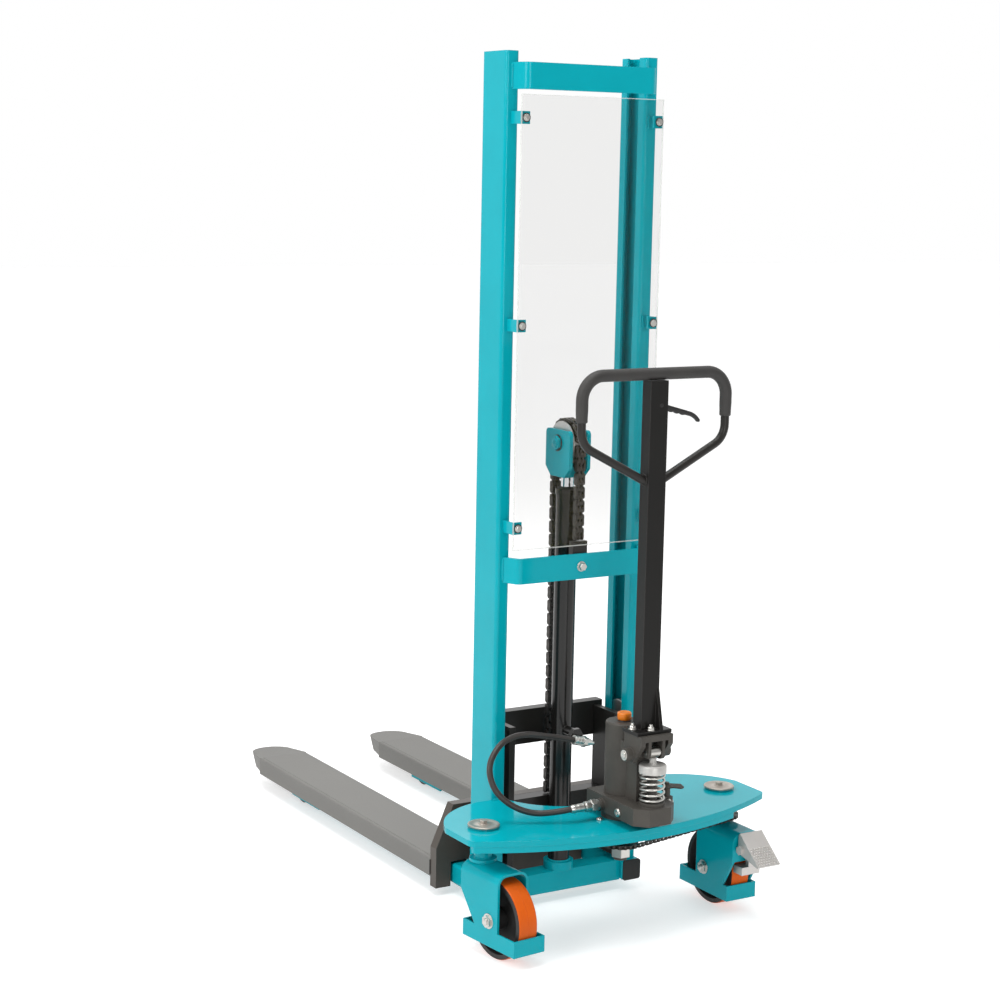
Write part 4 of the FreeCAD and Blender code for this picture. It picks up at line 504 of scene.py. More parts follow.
def camera():
    """The photograph's viewpoint: lens and place fitted to corners that are seen in it."""
    eye = Vector((-2.64134, MAST_LINE - 4.04220, 1.71167))
    yaw = math.radians(-31.14)
    pitch = math.radians(8.81)
    roll = math.radians(1.11)
    ahead = Vector((-math.sin(yaw) * math.cos(pitch), math.cos(yaw) * math.cos(pitch), -math.sin(pitch)))
    right = Vector((math.cos(yaw), math.sin(yaw), 0))
    up = right.cross(ahead)
    side = right * math.cos(roll) + up * math.sin(roll)
    top = up * math.cos(roll) - right * math.sin(roll)
    lens = bpy.data.cameras.new("photo_view")
    lens.sensor_width = 36
    lens.lens = 75.84
    lens.clip_end = 60
    holder = bpy.data.objects.new("photo_view", lens)
    holder.matrix_world = Matrix((
        (side.x, top.x, -ahead.x, eye.x),
        (side.y, top.y, -ahead.y, eye.y),
        (side.z, top.z, -ahead.z, eye.z),
        (0, 0, 0, 1)))
    bpy.context.scene.collection.objects.link(holder)
    bpy.context.scene.camera = holder


camera()


# Hydraulic hose

def hose():
    """Rubber hose along the route's spline, from the cylinder's port to the pump's side port."""
    curve = bpy.data.curves.new("hose_line", "CURVE")
    curve.dimensions = "3D"
    curve.resolution_u = 16
    spline = curve.splines.new("NURBS")
    spline.points.add(len(HOSE_ROUTE) - 1)
    for point, (x, y, z) in zip(spline.points, HOSE_ROUTE):
        point.co = (x, y + MAST_LINE, z, 1)
    spline.order_u = 3
    spline.use_endpoint_u = True
    holder = bpy.data.objects.new("hose_line", curve)
    line = bpy.data.meshes.new_from_object(holder)
    points = [vert.co.copy() for vert in line.vertices]
    bpy.data.objects.remove(holder)
    bpy.data.meshes.remove(line)
    bpy.data.curves.remove(curve)
    piece = new_piece("hose", lambda shape: tube(shape, points, lambda number: HOSE_RADIUS), hose_rubber,
                      None, 60, ["hydraulic_hose"])
    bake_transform(piece)
    return points


def end_run(points, reach):
    """The first points of a line, up to a reach from its start."""
    run = [points[0]]
    gone = 0.0
    for point in points[1:]:
        gone += (point - run[-1]).length
        run.append(point)
        if gone > reach:
            break
    return run


def crimp(shape, points, reach):
    """A crimped sleeve over a hose's end, with pressed ridges."""
    run = end_run(points, reach)
    last = len(run) - 1
    lip, ridge, groove = 0.0084, 0.0099, 0.0092

    def section(number):
        if number in (0, last):
            return lip
        return ridge if number % 3 else groove
    tube(shape, run, section, 24)


def hose_fittings(points):
    """Plated ends of the hose: sleeve and cone at the cylinder's port, sleeve and nut at the pump."""
    look_back = 6
    sleeve = [(0.0085, -0.0050), (0.0114, -0.0040), (0.0114, 0.0040), (0.0106, 0.0054), (0.0114, 0.0068),
              (0.0114, 0.0120), (0.0106, 0.0134), (0.0114, 0.0148), (0.0114, 0.0205), (0.0104, 0.0216)]
    cone = [(0.0112, 0.0325), (0.0100, 0.0400), (0.0066, 0.0490), (0.0042, 0.0580), (0.0030, 0.0592)]
    upper_nut = (0.0134, 0.0210, 0.0330)  # radius, low and high, as in each of the steps
    sleeve_reach, ease, fine_ease = 0.036, 0.001, 0.0006
    steps = [(0.0120, -0.002, 0.013, 24, ease), (0.0152, 0.0125, 0.0265, 6, ease),
             (0.0124, 0.026, 0.0342, 24, fine_ease)]

    def upper(shape):
        heading = (points[0] - points[look_back]).normalized()
        matrix = along(heading, points[0])
        stack(shape, matrix, sleeve, 28)
        bar(shape, matrix, *upper_nut, 6, ease)
        stack(shape, matrix, cone, 24)

    def lower(shape):
        crimp(shape, points[::-1], sleeve_reach)
        matrix = along(X_AXIS, points[-1])
        for step in steps:
            bar(shape, matrix, *step)
    new_piece("hose_upper_fitting", upper, zinc, "mast")
    new_piece("hose_lower_fitting", lower, zinc, "pump")


hose_fittings(hose())


# Lift chain and steering chain

def link(shape, start, end, aside, low, high, half, waist, sides=7):
    """One chain plate between two pins: round ends and a waist, from low to high along aside."""
    ahead = (end - start).normalized()
    across = aside.cross(ahead)
    pitch = (end - start).length
    outline = []
    for place, first, belly in ((pitch, -math.pi / 2, waist), (0, math.pi / 2, -waist)):
        for side in range(sides + 1):
            angle = first + math.pi * side / sides
            outline.append((place + half * math.cos(angle), half * math.sin(angle)))
        outline.append((pitch / 2, belly))
    skin(shape, [[shape.verts.new(start + ahead * run + across * rise + aside * level)
                  for run, rise in outline] for level in (low, high)])


# Leaf chain: half width and waist of a plate, its thickness and spacing, the places of the plates
# across the chain, the pins' spacing and size, and the last pin's distance from the strand's end
LEAF_HALF = 0.0067
LEAF_WAIST = 0.0061
LEAF_THICK = 0.00215
LEAF_STEP = 0.00232
EVEN_LEAVES = (-4.5, -3.5, -0.5, 0.5, 3.5, 4.5)
ODD_LEAVES = (-2.5, -1.5, 1.5, 2.5)
LEAF_PITCH = 0.015875
LEAF_END = 0.00779
PIN_RADIUS = 0.0034
PIN_HALF = 0.0122
PIN_EASE = 0.0008


def leaf_chain(name, pins, body, node):
    """A stretch of leaf chain: six plates and four plates by turns, on pins with eased ends."""
    def make(shape):
        for number, (start, end) in enumerate(zip(pins, pins[1:])):
            for place in ODD_LEAVES if number % 2 else EVEN_LEAVES:
                side = place * LEAF_STEP
                link(shape, start, end, X_AXIS, side - LEAF_THICK / 2, side + LEAF_THICK / 2,
                     LEAF_HALF, LEAF_WAIST)
        for pin in pins:
            bar(shape, along(X_AXIS, pin), PIN_RADIUS, -PIN_HALF, PIN_HALF, 12, PIN_EASE)
    return new_piece(name, make, chain_steel, body, 40, [node])


def straight_pins(node):
    """Pins of an upright strand, from the lowest to the highest that its solid holds."""
    low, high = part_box(node)
    foot = Vector((0, (low.y + high.y) / 2, low.z + LEAF_END))
    run = high.z - low.z - 2 * LEAF_END
    count = round(run / LEAF_PITCH)
    return [foot + Z_AXIS * run * number / count for number in range(count + 1)]


def lift_chain():
    """Front strand on the carriage, wrap on the piston's pulley, rear strand down to the anchor."""
    front_pins = straight_pins("lift_chain_front")
    front = leaf_chain("chain_front", front_pins, "carriage", "lift_chain_front")
    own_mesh(front)
    rear_pins = straight_pins("lift_chain_rear")
    rear = leaf_chain("chain_rear", rear_pins, None, "lift_chain_rear")
    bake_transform(rear)
    pitch_circle = front_pins[0].y - PULLEY.y
    links, gap = 8, 0.0015
    first = math.asin((LEAF_END + gap) / pitch_circle)
    turns = [first + (math.pi - 2 * first) * number / links for number in range(links + 1)]
    leaf_chain("chain_wrap", [PULLEY + Vector((0, math.cos(turn), math.sin(turn))) * pitch_circle
                              for turn in turns], "piston", "lift_chain_wrap")


def loop_spots(start, end, radius, count):
    """Evenly spaced places along a belt line round two equal wheels."""
    ahead = (end - start).normalized()
    aside = Z_AXIS.cross(ahead)
    run = (end - start).length
    turn = math.pi * radius
    spots = []
    for number in range(count):
        gone = 2 * (run + turn) * number / count
        side = 1 if gone < run + turn else -1
        gone %= run + turn
        first, last = (start, end) if side > 0 else (end, start)
        if gone < run:
            spots.append(first + side * (aside * radius + ahead * gone))
        else:
            angle = (gone - run) / radius
            spots.append(last + side * (aside * math.cos(angle) + ahead * math.sin(angle)) * radius)
    return spots


def steering_chain():
    """Roller chain between the pump's chain wheel and the right caster's, on upright pins."""
    low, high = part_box("steering_chain")
    count, half, waist, margin, ease = 74, 0.0044, 0.0030, 0.0045, 0.0004
    outer_plate, inner_plate = (0.0033, 0.0043), (0.0021, 0.0031)
    pin, pin_half, roller, roller_half = 0.0020, 0.0045, 0.0036, 0.0020
    radius = PUMP.x - low.x - margin
    level = (low.z + high.z) / 2
    start = Vector((PUMP.x, PUMP.y, level))
    end = Vector((CASTER.x, CASTER.y, level))
    spots = loop_spots(start, end, radius, count)

    def make(shape):
        for number, spot in enumerate(spots):
            after = spots[(number + 1) % len(spots)]
            near, far = outer_plate if number % 2 else inner_plate
            for under, over in ((-far, -near), (near, far)):
                link(shape, spot, after, Z_AXIS, under, over, half, waist, 6)
            bar(shape, along(Z_AXIS, spot), pin, -pin_half, pin_half, 10, ease)
            bar(shape, along(Z_AXIS, spot), roller, -roller_half, roller_half, 12, ease)
    new_piece("steering_links", make, chain_steel, "mast", 40, ["steering_chain"])


lift_chain()
steering_chain()


# Pump spring, plunger and levers

def pump_spring():
    """Round wire wound between the pump block and the plunger's cap, with closed ends."""
    low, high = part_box("pump_spring")
    centre = (low + high) / 2
    wire = 0.0026
    radius = (high.x - low.x) / 2 - wire
    height = high.z - low.z - 2 * wire
    turns, steps = 5.4, 300

    def rise(share):
        """Height along the winding, which climbs about half as fast near both ends."""
        closed, slow = 0.75 / turns, 0.52
        low_part = slow * closed
        if share < closed:
            return slow * share
        if share > 1 - closed:
            return 1 - slow * (1 - share)
        return low_part + (1 - 2 * low_part) * (share - closed) / (1 - 2 * closed)
    points = []
    for number in range(steps + 1):
        share = number / steps
        angle = 2 * math.pi * turns * share
        points.append(Vector((centre.x + radius * math.cos(angle), centre.y + radius * math.sin(angle),
                              low.z + wire + height * rise(share))))
    piece = new_piece("spring", lambda shape: tube(shape, points, lambda number: wire, 14), zinc, "pump",
                      60, ["pump_spring"])
    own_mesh(piece)


def plunger():
    """Turned plunger: a satin cap with a tip under the cam roller, on a bar inside the spring that is made
    dark as painted shade.
    """
    low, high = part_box("pump_plunger")
    centre = (low + high) / 2
    matrix = along(Z_AXIS, (centre.x, centre.y, low.z))
    rim = (high.x - low.x) / 2
    tall = high.z - low.z
    under, top, neck = tall - 0.0361, tall - 0.0161, 0.0080
    cap = [(0.0118, under - 0.0005), (rim - 0.0014, under), (rim, under + 0.0014), (rim, top - 0.0030),
           (rim - 0.0010, top - 0.0012), (rim - 0.0030, top), (0.0135, top), (0.0105, top + 0.0009),
           (neck, top + 0.0035), (neck, tall - 0.0034), (neck - 0.0014, tall - 0.0010), (0.0038, tall)]
    stem = [(0.0108, 0.0), (0.0116, 0.0010), (0.0116, under)]
    new_piece("plunger_cap", lambda shape: stack(shape, matrix, cap, 48), satin, "plunger", 30,
              ["pump_plunger"])
    # The bar gets the dark chain steel as painted shade for the shadow inside the spring
    new_piece("shaded_plunger_stem", lambda shape: stack(shape, matrix, stem, 32), chain_steel, "plunger")


def valve_plate():
    """Flat lever on the valve's post, tipped towards the hand, round a ring on the post's pin."""
    low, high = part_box("valve_lever")
    hub = Vector((PUMP.x + POST_AWAY, PUMP.y - POST_AWAY, low.z))
    outline = [(-0.0060, 0.0060), (-0.0066, -0.0060), (0.0100, -0.0136), (0.0200, -0.0262),
               (0.0225, -0.0278), (0.0275, -0.0276), (0.0288, -0.0258), (0.0288, -0.0135), (0.0065, 0.0068)]
    tip_share = 0.26
    thick, lift, ease, gap = 0.0030, 0.0020, 0.0006, 0.0002
    bore, rim = 0.0053, 0.0085

    def make(shape):
        rings = [[shape.verts.new(hub + Vector((x, y, lift + level + tip_share * (x + y))))
                  for x, y in outline] for level in (0.0, thick)]
        skin(shape, rings)
        bmesh.ops.bevel(shape, geom=shape.edges[:], offset=ease, segments=2, affect="EDGES")
        washer(shape, along(Z_AXIS, hub), bore, rim, gap, high.z - low.z - gap, ease)
    new_piece("valve_plate", make, cast, "valve", 30, ["valve_lever"])


def squeeze_lever():
    """Curved lever with three finger waves on its underside, on a pin through the column."""
    low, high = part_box("release_lever")
    pivot_in, pivot_down = 0.008, 0.007
    pivot = Vector((low.x + pivot_in, (low.y + high.y) / 2, high.z - pivot_down))
    slope = math.radians(-14.5)
    straight, bend, turn = 0.096, 0.044, math.radians(42)
    run = straight + bend * turn
    first_wave, wave, waves, wave_deep = 0.036, 0.0165, 3, 0.0017
    half_wide, half_tall, taper, end_round = 0.0046, 0.0064, 0.0024, 0.004
    steps, sides = 96, 20
    pin_radius, pin_ease = 0.0040, 0.0006
    end_share = 0.12
    start_back, start_up = 0.0075, 0.0015
    start = pivot + Vector((-start_back, 0, start_up))

    def place(gone):
        """Middle of the lever and its heading, a way along from its inner end."""
        angle = slope - max(0.0, gone - straight) / bend
        ahead = Vector((math.cos(slope), 0, math.sin(slope)))
        spot = start + ahead * min(gone, straight)
        if gone > straight:
            spot += Vector((math.sin(slope) - math.sin(angle), 0, math.cos(angle) - math.cos(slope))) * bend
        return spot, angle

    def make(shape):
        rings = []
        for number in range(steps + 1):
            gone = run * number / steps
            spot, angle = place(gone)
            up = Vector((-math.sin(angle), 0, math.cos(angle)))
            half = half_tall - taper * (gone / run) ** 2
            left = min(gone, run - gone) / end_round
            if left < 1:
                half *= math.sqrt(min(1.0, end_share + left * (2 - left)))
            phase = (gone - first_wave) / wave
            swell = wave_deep * (1 - math.cos(2 * math.pi * phase)) / 2 if 0 < phase < waves else 0.0
            ring = []
            for side in range(sides):
                turned = 2 * math.pi * side / sides
                across, rise = math.cos(turned), math.sin(turned)
                across = math.copysign(math.sqrt(abs(across)), across) * half_wide
                rise = math.copysign(math.sqrt(abs(rise)), rise) * (half + (swell if rise < 0 else 0.0))
                ring.append(shape.verts.new(spot + Y_AXIS * across + up * rise))
            rings.append(ring)
        skin(shape, rings)
        bar(shape, along(Y_AXIS, pivot), pin_radius, low.y - pivot.y, high.y - pivot.y, 24, pin_ease)
    new_piece("squeeze_lever", make, plastic, "release", 40, ["release_lever"])


pump_spring()
plunger()
valve_plate()
squeeze_lever()


# Grip and wheel treads

def grip():
    """Soft sleeve over the hand loop, drawn in at both ends behind a rounded lip."""
    low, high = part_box("tiller_grip")
    radius = (high.y - low.y) / 2
    left, right, top = low.x + radius, high.x - radius, high.z - radius
    corners = [Vector((left, COLUMN_Y, low.z)), Vector((left, COLUMN_Y, top)),
               Vector((right, COLUMN_Y, top)), Vector((right, COLUMN_Y, low.z))]
    lip = [0.0, 0.0012, 0.003, 0.006, 0.010, 0.016, 0.026]
    sizes = [0.86, 0.93, 0.955, 0.955, 0.95, 0.965, 1.0]
    bend = 0.052
    path = rounded_path(corners, bend)
    ends = [corners[0] + Z_AXIS * gone for gone in lip]
    points = ends + path[1:-1] + [Vector((right, COLUMN_Y, end.z)) for end in reversed(ends)]

    def section(number):
        near = min(number, len(points) - 1 - number)
        return radius * (sizes[near] if near < len(sizes) else 1.0)
    new_piece("grip", lambda shape: tube(shape, points, section, 28), soft_grip, "tiller", 60,
              ["tiller_grip"])


def wheel_tread(side, axis):
    """Tread of a caster wheel with a moulding line round its middle, between dark moulded shoulders."""
    base, outer, half, shoulder = 0.0850, 0.0900, 0.0250, 0.0007
    right = [(base, half - shoulder), (outer - 0.0026, half - shoulder), (outer - 0.0012, half - 0.0010),
             (outer - 0.0003, half - 0.0024), (outer, half - 0.0050), (outer, 0.0009),
             (outer - 0.0004, 0.0004)]
    profile = right + [(radius, -height) for radius, height in reversed(right)]
    edge = [(base, half - 2 * shoulder), (outer - 0.0015, half - 2 * shoulder),
            (outer - 0.0017, half - 0.5 * shoulder), (outer - 0.0023, half), (base, half)]
    node = f"{side}_tyre"
    matrix = along(axis, middle(node))

    def shoulders(shape):
        for way in (-1, 1):
            lathe(shape, matrix, [(radius, way * height) for radius, height in edge], 96)
    new_piece(f"{side}_tread", lambda shape: lathe(shape, matrix, profile, 96), tread, f"{side}_wheel",
              30, [node])
    new_piece(f"{side}_shoulders", shoulders, plastic, f"{side}_wheel", 30)


grip()
wheel_tread("left", LEFT_AXIS)
wheel_tread("right", X_AXIS)


# Caps, discs and fasteners

def king_discs():
    """Dished cover discs over the caster stems, each with a washer and a hexagon bolt."""
    low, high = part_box("king_pin_discs")
    rim = (high.y - low.y) / 2
    seat, head = 0.0042, 0.009
    profile = [(0.007, 0.0), (rim - 0.0012, 0.0), (rim, 0.0012), (rim, 0.0036), (rim - 0.0014, 0.0050),
               (rim - 0.0060, 0.0050), (rim - 0.0090, 0.0037), (0.0150, 0.0037), (0.0135, 0.0044),
               (0.007, 0.0044)]

    def make(shape):
        for side in (-1, 1):
            place = Vector((side * CASTER.x, CASTER.y, low.z))
            lathe(shape, along(Z_AXIS, place), profile, 72)
            hex_bolt(shape, along(Z_AXIS, place + Z_AXIS * seat), head, high.z - low.z - seat)
    new_piece("stem_discs", make, disc_steel, "mast", 30, ["king_pin_discs"])


def filler_cap():
    """Orange screw cap with six soft lobes and a dished top, on a dark neck."""
    low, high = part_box("filler_cap")
    place = Vector((PUMP.x, PUMP.y, low.z))
    neck = 0.003
    rim = (high.x - low.x) / 2
    tall = high.z - low.z
    levels = [(0.90, neck), (0.97, neck + 0.0015), (1.0, neck + 0.003), (0.99, tall - 0.0042),
              (0.94, tall - 0.0016), (0.84, tall - 0.0002), (0.74, tall), (0.66, tall - 0.0008),
              (0.30, tall - 0.0010)]
    sides, lobes = 72, 6
    skirt_share, skirt_lobe, top_lobe = 0.9, 0.055, 0.02
    neck_steps = [(0.0152, -0.0004), (0.0152, 0.0014), (0.0146, 0.0020), (0.0130, 0.0026), (0.0130, 0.0042)]

    def make(shape):
        rings = []
        for share, level in levels:
            lobe = skirt_lobe if share > skirt_share else top_lobe
            ring = []
            for side, corner in enumerate(circle(rim * share, 0, sides)):
                draw_in = lobe * (1 - math.cos(2 * math.pi * lobes * side / sides)) / 2
                ring.append(shape.verts.new(place + corner * (1 - draw_in) + Z_AXIS * level))
            rings.append(ring)
        skin(shape, rings)
    new_piece("reservoir_cap", make, cap_plastic, "pump", 40, ["filler_cap"])
    new_piece("reservoir_neck", lambda shape: stack(shape, along(Z_AXIS, place), neck_steps, 36), cast,
              "pump")


def pump_fasteners():
    """Screws on the pump's casting, and rings and turned ends on the tiller's pin."""
    pin = middle("tiller_pin")
    screws = [  # axis, place, radius and height of each head
        (-X_AXIS, (-0.055, MAST_LINE - 0.2975, 0.3065), 0.0095, 0.0050),
        (-Y_AXIS, (0.070, PUMP.y - 0.082, 0.3215), 0.0048, 0.0060),
        (X_AXIS, (0.082, PUMP.y - POST_AWAY, 0.3150), 0.0052, 0.0070)]
    ring_away, bore, rim, half = 0.0592, 0.0076, 0.0118, 0.0009
    end_away = 0.0617
    pin_end = [(0.0078, 0.0), (0.0072, 0.0009), (0.0030, 0.0011), (0.0024, 0.0006)]

    def make(shape):
        for axis, place, radius, height in screws:
            socket_screw(shape, along(axis, place), radius, height)

    def rings(shape):
        for side in (-1, 1):
            washer(shape, along(X_AXIS, (side * ring_away, pin.y, pin.z)), bore, rim, -half, half)
            stack(shape, along(side * X_AXIS, (side * end_away, pin.y, pin.z)), pin_end, 28)
    new_piece("pump_screws", make, zinc, "pump")
    new_piece("pin_rings", rings, zinc, "pump")


def tiller_fasteners():
    """Bolts that hold the column's flange to the bracket."""
    flange, head, tall, stud = 0.008, 0.0074, 0.0085, 0.0060
    places = ((-0.0345, 0.0), (0.0345, 0.0), (-0.004, -0.027))
    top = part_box("tiller_bracket")[1].z + flange

    def make(shape):
        for across, back in places:
            hex_bolt(shape, along(Z_AXIS, (across, COLUMN_Y + back, top)), head, tall, stud)
    new_piece("flange_bolts", make, zinc, "tiller")


def mast_fasteners():
    """Clip bolts on rubber cushions, the chain anchor's bolt, a screw on the plate, and the rod's wiper."""
    sheet_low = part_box("clear_screen")[0]
    bolt_low, bolt_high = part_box("mast_bolts")
    clip_low, clip_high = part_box("screen_clips")
    half_clip, head_half, anchor_up = 0.014, 0.008, 0.0104
    clip_head, clip_tall, anchor_head, anchor_tall = 0.0066, 0.0062, 0.0096, 0.0105
    plate_screw, screw_head, screw_tall = (-0.066, MAST_LINE - 0.241, PLATE_TOP), 0.0070, 0.0055
    cushion_bore, cushion_rim, cushion_thick = 0.004, 0.0104, 0.0012
    heights = [clip_low.z + half_clip, (clip_low.z + clip_high.z) / 2, clip_high.z - half_clip]
    across = bolt_high.x - head_half
    spots = [along(-Y_AXIS, (side * across, sheet_low.y, height)) for height in heights for side in (-1, 1)]
    anchor = (0.0, bolt_high.y, bolt_low.z + anchor_up)
    gland_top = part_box("cylinder_tube")[1].z

    def make(shape):
        for spot in spots:
            hex_bolt(shape, spot, clip_head, clip_tall)
        hex_bolt(shape, along(-Y_AXIS, anchor), anchor_head, anchor_tall)
        socket_screw(shape, along(Z_AXIS, plate_screw), screw_head, screw_tall)

    def cushions(shape):
        for spot in spots:
            washer(shape, spot, cushion_bore, cushion_rim, 0, cushion_thick)
    new_piece("mast_screws", make, zinc, "mast", 35, ["mast_bolts"])
    new_piece("sheet_cushions", cushions, rubber, "mast")
    wiper = [(0.0153, -0.001), (0.0225, -0.001), (0.0225, 0.0022), (0.0212, 0.0036), (0.0170, 0.0040),
             (0.0153, 0.0052)]
    new_piece("rod_wiper", lambda shape: lathe(shape, along(Z_AXIS, (PULLEY.x, PULLEY.y, gland_top)), wiper),
              rubber, "mast")


def sheet_edges():
    """Sawn edge of the clear sheet: a pale line all round it, partly the frosted edge and partly a painted
    highlight of the light it catches.
    """
    low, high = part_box("clear_screen")
    proud, deep = 0.0002, 0.0016

    def make(shape):
        corners = ((low.x, low.z, 1, 1), (high.x, low.z, -1, 1), (high.x, high.z, -1, -1),
                   (low.x, high.z, 1, -1))
        skin(shape, [[shape.verts.new((x + way_x * inset, y, z + way_z * inset))
                      for inset, y in ((-proud, low.y - proud), (deep, low.y - proud),
                                       (deep, high.y + proud), (-proud, high.y + proud))]
                     for x, z, way_x, way_z in corners], closed=True)
    new_piece("sheet_edges", make, sheet_rim_frost_and_highlight, "mast")


def axle_washers():
    """Flat washers and stepped ends of the wheels' bolts, on both sides."""
    face, end = 0.042, 0.050
    bore, rim, thick = 0.0080, 0.0172, 0.0016
    bolt_end = [(0.0082, end - 0.001), (0.0082, end + 0.0012), (0.0074, end + 0.0016),
                (0.0074, end + 0.0034), (0.0060, end + 0.0042)]
    for side, axis in (("left", LEFT_AXIS), ("right", X_AXIS)):
        centre = middle(f"{side}_tyre")

        def make(shape):
            for way in (-1, 1):
                matrix = along(way * axis, centre)
                washer(shape, matrix, bore, rim, face, face + thick)
                stack(shape, matrix, bolt_end, 24)
        new_piece(f"{side}_axle_washers", make, zinc, f"{side}_caster")


def pulley_pin_rings():
    """Dark washer under each head of the pulley's pin, and the turned centre of the head."""
    pin = middle("pulley_pin")
    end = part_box("pulley_pin")[1].x
    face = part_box("pulley_yoke")[1].x
    bore, rim, thick = 0.0100, 0.0192, 0.0018
    centre = [(0.0112, end - 0.0004), (0.0112, end + 0.0010), (0.0100, end + 0.0018), (0.0044, end + 0.0018),
              (0.0034, end + 0.0006)]

    def rings(shape):
        for way in (-1, 1):
            washer(shape, along(way * X_AXIS, pin), bore, rim, face, face + thick)

    def centres(shape):
        for way in (-1, 1):
            stack(shape, along(way * X_AXIS, pin), centre, 32)
    new_piece("pulley_pin_rings", rings, chain_steel, "piston")
    new_piece("pulley_pin_centres", centres, teal, "piston")


def pedal_studs():
    """Rows of small raised grip studs on the lower half of the foot pedal."""
    rows, first_share, last_share = 8, 0.48, 0.95
    pitch, reach, sunk = 0.0076, 0.0285, 0.0003
    most = math.ceil(reach / pitch)
    stud = [(0.0029, 0.0), (0.0026, 0.0013), (0.0016, 0.0023), (0.0005, 0.0027)]
    upper = Vector((CASTER.x, CASTER.y - 0.1285, 0.2045))
    lower = Vector((CASTER.x, CASTER.y - 0.2015, 0.1435))
    down = lower - upper
    out = down.cross(X_AXIS).normalized()

    def make(shape):
        for row in range(rows):
            share = first_share + (last_share - first_share) * row / (rows - 1)
            for number in range(-most, most + 1):
                shift = pitch * (number + 0.5 * (row % 2))
                if abs(shift) < reach:
                    stack(shape, along(out, upper + down * share + X_AXIS * shift - out * sunk), stud, 10)
    new_piece("pedal_studs", make, pedal_zinc, "brake")


FORKS = ("left_fork", "right_fork")


def fork_covers():
    """Cover plates on the forks' tops, a little in from the folded edges and short of the noses."""
    nose, gap, inset = 0.125, 0.012, 0.0095
    sunk, thick, ease = 0.0004, 0.0010, 0.0006

    def make(shape):
        for node in FORKS:
            low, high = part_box(node)
            rings = []
            for level, draw_in in ((-sunk, 0.0), (thick - ease, 0.0), (thick, ease)):
                left, right = low.x + inset + draw_in, high.x - inset - draw_in
                start, end = low.y + gap + draw_in, high.y - nose - draw_in
                rings.append([shape.verts.new((x, y, high.z + level)) for x, y in (
                    (left, start), (right, start), (right, end), (left, end))])
            skin(shape, rings)
    new_piece("fork_covers", make, grey, "carriage")


def welds():
    """Weld beads where the painted steelwork is joined."""
    fine, middling, heavy, heaviest, loop_bead = 0.0026, 0.0028, 0.0032, 0.0034, 0.0021
    proud = 0.0006

    def mast(shape):
        behind, clear = MAST_LINE - proud, 0.002
        for node in ("top_crossbar", "middle_crossbar"):
            low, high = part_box(node)
            for edge in (low.x, high.x):
                bead(shape, (edge, behind, low.z + clear), (edge, behind, high.z - clear), fine)
        rail_in, rail_out, level = 0.171, 0.203, PLATE_TOP + proud
        leg_in, leg_foot, leg_top, leg_edges = 0.1620, 0.027, 0.073, (-0.463, -0.393)
        for side in (-1, 1):
            bead(shape, (side * rail_in, behind, level), (side * rail_out, behind, level), heavy)
            for edge in leg_edges:
                bead(shape, (side * leg_in, edge, leg_foot), (side * leg_in, edge, leg_top), middling)
        foot, foot_up, ring, ring_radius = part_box("cylinder_tube")[0].z, 0.0008, 0.0258, 0.0030
        ring_bead(shape, (PULLEY.x, PULLEY.y, foot + foot_up), X_AXIS * ring, Y_AXIS * ring, ring_radius,
                  160, 10)

    def carriage(shape):
        inset, clear, above = 0.004, 0.003, 0.0004
        for node in FORKS:
            low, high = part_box(node)
            behind, top = low.y + proud, high.z + above
            bead(shape, (low.x + inset, behind, top), (high.x - inset, behind, top), heaviest)
            for edge in (low.x, high.x):
                bead(shape, (edge, behind, low.z + clear), (edge, behind, high.z - clear), fine)

    def loop(shape):
        away, up, half_wide, half_tall = 0.0232, 0.0135, 0.0100, 0.0122
        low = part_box("tiller_loop")[0]
        for side in (-1, 1):
            ring_bead(shape, (side * away, COLUMN_Y, low.z + up), Y_AXIS * half_wide, Z_AXIS * half_tall,
                      loop_bead, 72, 8)
    new_piece("mast_welds", mast, teal, "mast")
    new_piece("fork_welds", carriage, dark, "carriage")
    new_piece("loop_welds", loop, dark, "tiller")


king_discs()
filler_cap()
pump_fasteners()
tiller_fasteners()
mast_fasteners()
sheet_edges()
axle_washers()
pulley_pin_rings()
pedal_studs()
fork_covers()
welds()


# Floor and lights

# Heading from which the backdrop is brightest, and name, place, target, size and watts of each lamp
BRIGHT_SIDE = (0.51, 0.85, 0.10)
LAMPS = [
    ("key", (-4.6, -1.2, 3.2), (0, -0.3, 0.8), (2.6, 2.6), 150),
    ("top", (-0.6, -0.6, 5.2), (0, -0.3, 0.0), (3.2, 3.2), 190),
    ("fill", (-1.6, -6.0, 1.8), (0, -0.5, 0.7), (2.0, 2.0), 92),
    ("back", (1.6, 4.4, 3.2), (0, 0, 0.8), (3.0, 2.0), 32),
]


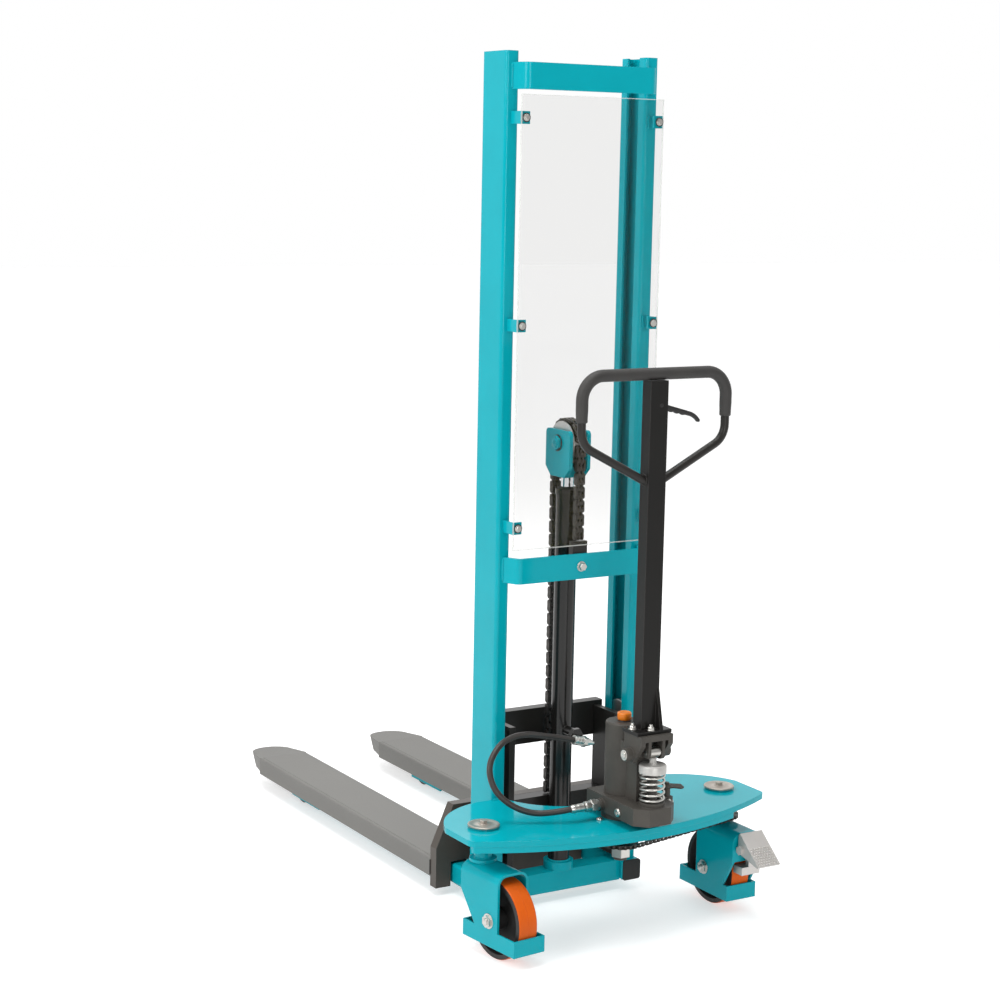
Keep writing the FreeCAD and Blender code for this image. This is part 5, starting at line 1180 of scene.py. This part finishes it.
def floor():
    """Plain pale floor with a faint glow of its own, so that it fades into the backdrop."""
    mesh = bpy.data.meshes.new("floor")
    half, glow = 30, 0.55
    corners = [(-half, -half, 0), (half, -half, 0), (half, half, 0), (-half, half, 0)]
    mesh.from_pydata(corners, [], [(0, 1, 2, 3)])
    pale = surface("pale_floor", PALE, rough=0.6, grain=6, spread=0.008, bump=0.01, bevel=0, specular=0.2)
    shader = pale.node_tree.nodes["Principled BSDF"]
    shader.inputs["Emission Color"].default_value = (1, 1, 1, 1)
    shader.inputs["Emission Strength"].default_value = glow
    mesh.materials.append(pale)
    piece = bpy.data.objects.new("floor", mesh)
    bpy.context.scene.collection.objects.link(piece)


def area_light(name, place, target, size, power):
    """A rectangular lamp at a place, turned to a target."""
    light = bpy.data.lights.new(name, "AREA")
    light.shape = "RECTANGLE"
    light.size, light.size_y = size
    light.energy = power
    holder = bpy.data.objects.new(name, light)
    holder.location = place
    holder.rotation_euler = (Vector(target) - Vector(place)).to_track_quat("-Z", "Y").to_euler()
    bpy.context.scene.collection.objects.link(holder)


def studio():
    """White backdrop whose light is dimmer from the near side, with soft lamps round the object."""
    world = bpy.data.worlds.new("studio")
    world.use_nodes = True
    tree = world.node_tree
    place = add(tree, "ShaderNodeTexCoord")
    facing = add(tree, "ShaderNodeVectorMath")
    facing.operation = "DOT_PRODUCT"
    facing.inputs[1].default_value = BRIGHT_SIDE
    tree.links.new(place.outputs["Generated"], facing.inputs[0])
    fade = add(tree, "ShaderNodeMapRange", Value=facing.outputs["Value"], From_Min=-0.7, From_Max=0.35,
               To_Min=0.15, To_Max=1.0)
    rays = add(tree, "ShaderNodeLightPath")
    seen = add(tree, "ShaderNodeMath")
    seen.operation = "MAXIMUM"
    tree.links.new(rays.outputs["Is Camera Ray"], seen.inputs[0])
    tree.links.new(fade.outputs["Result"], seen.inputs[1])
    back = tree.nodes["Background"]
    back.inputs["Color"].default_value = (1, 1, 1, 1)
    tree.links.new(seen.outputs["Value"], back.inputs["Strength"])
    bpy.context.scene.world = world
    bpy.context.scene.view_settings.view_transform = "Standard"
    for lamp in LAMPS:
        area_light(*lamp)


floor()
studio()
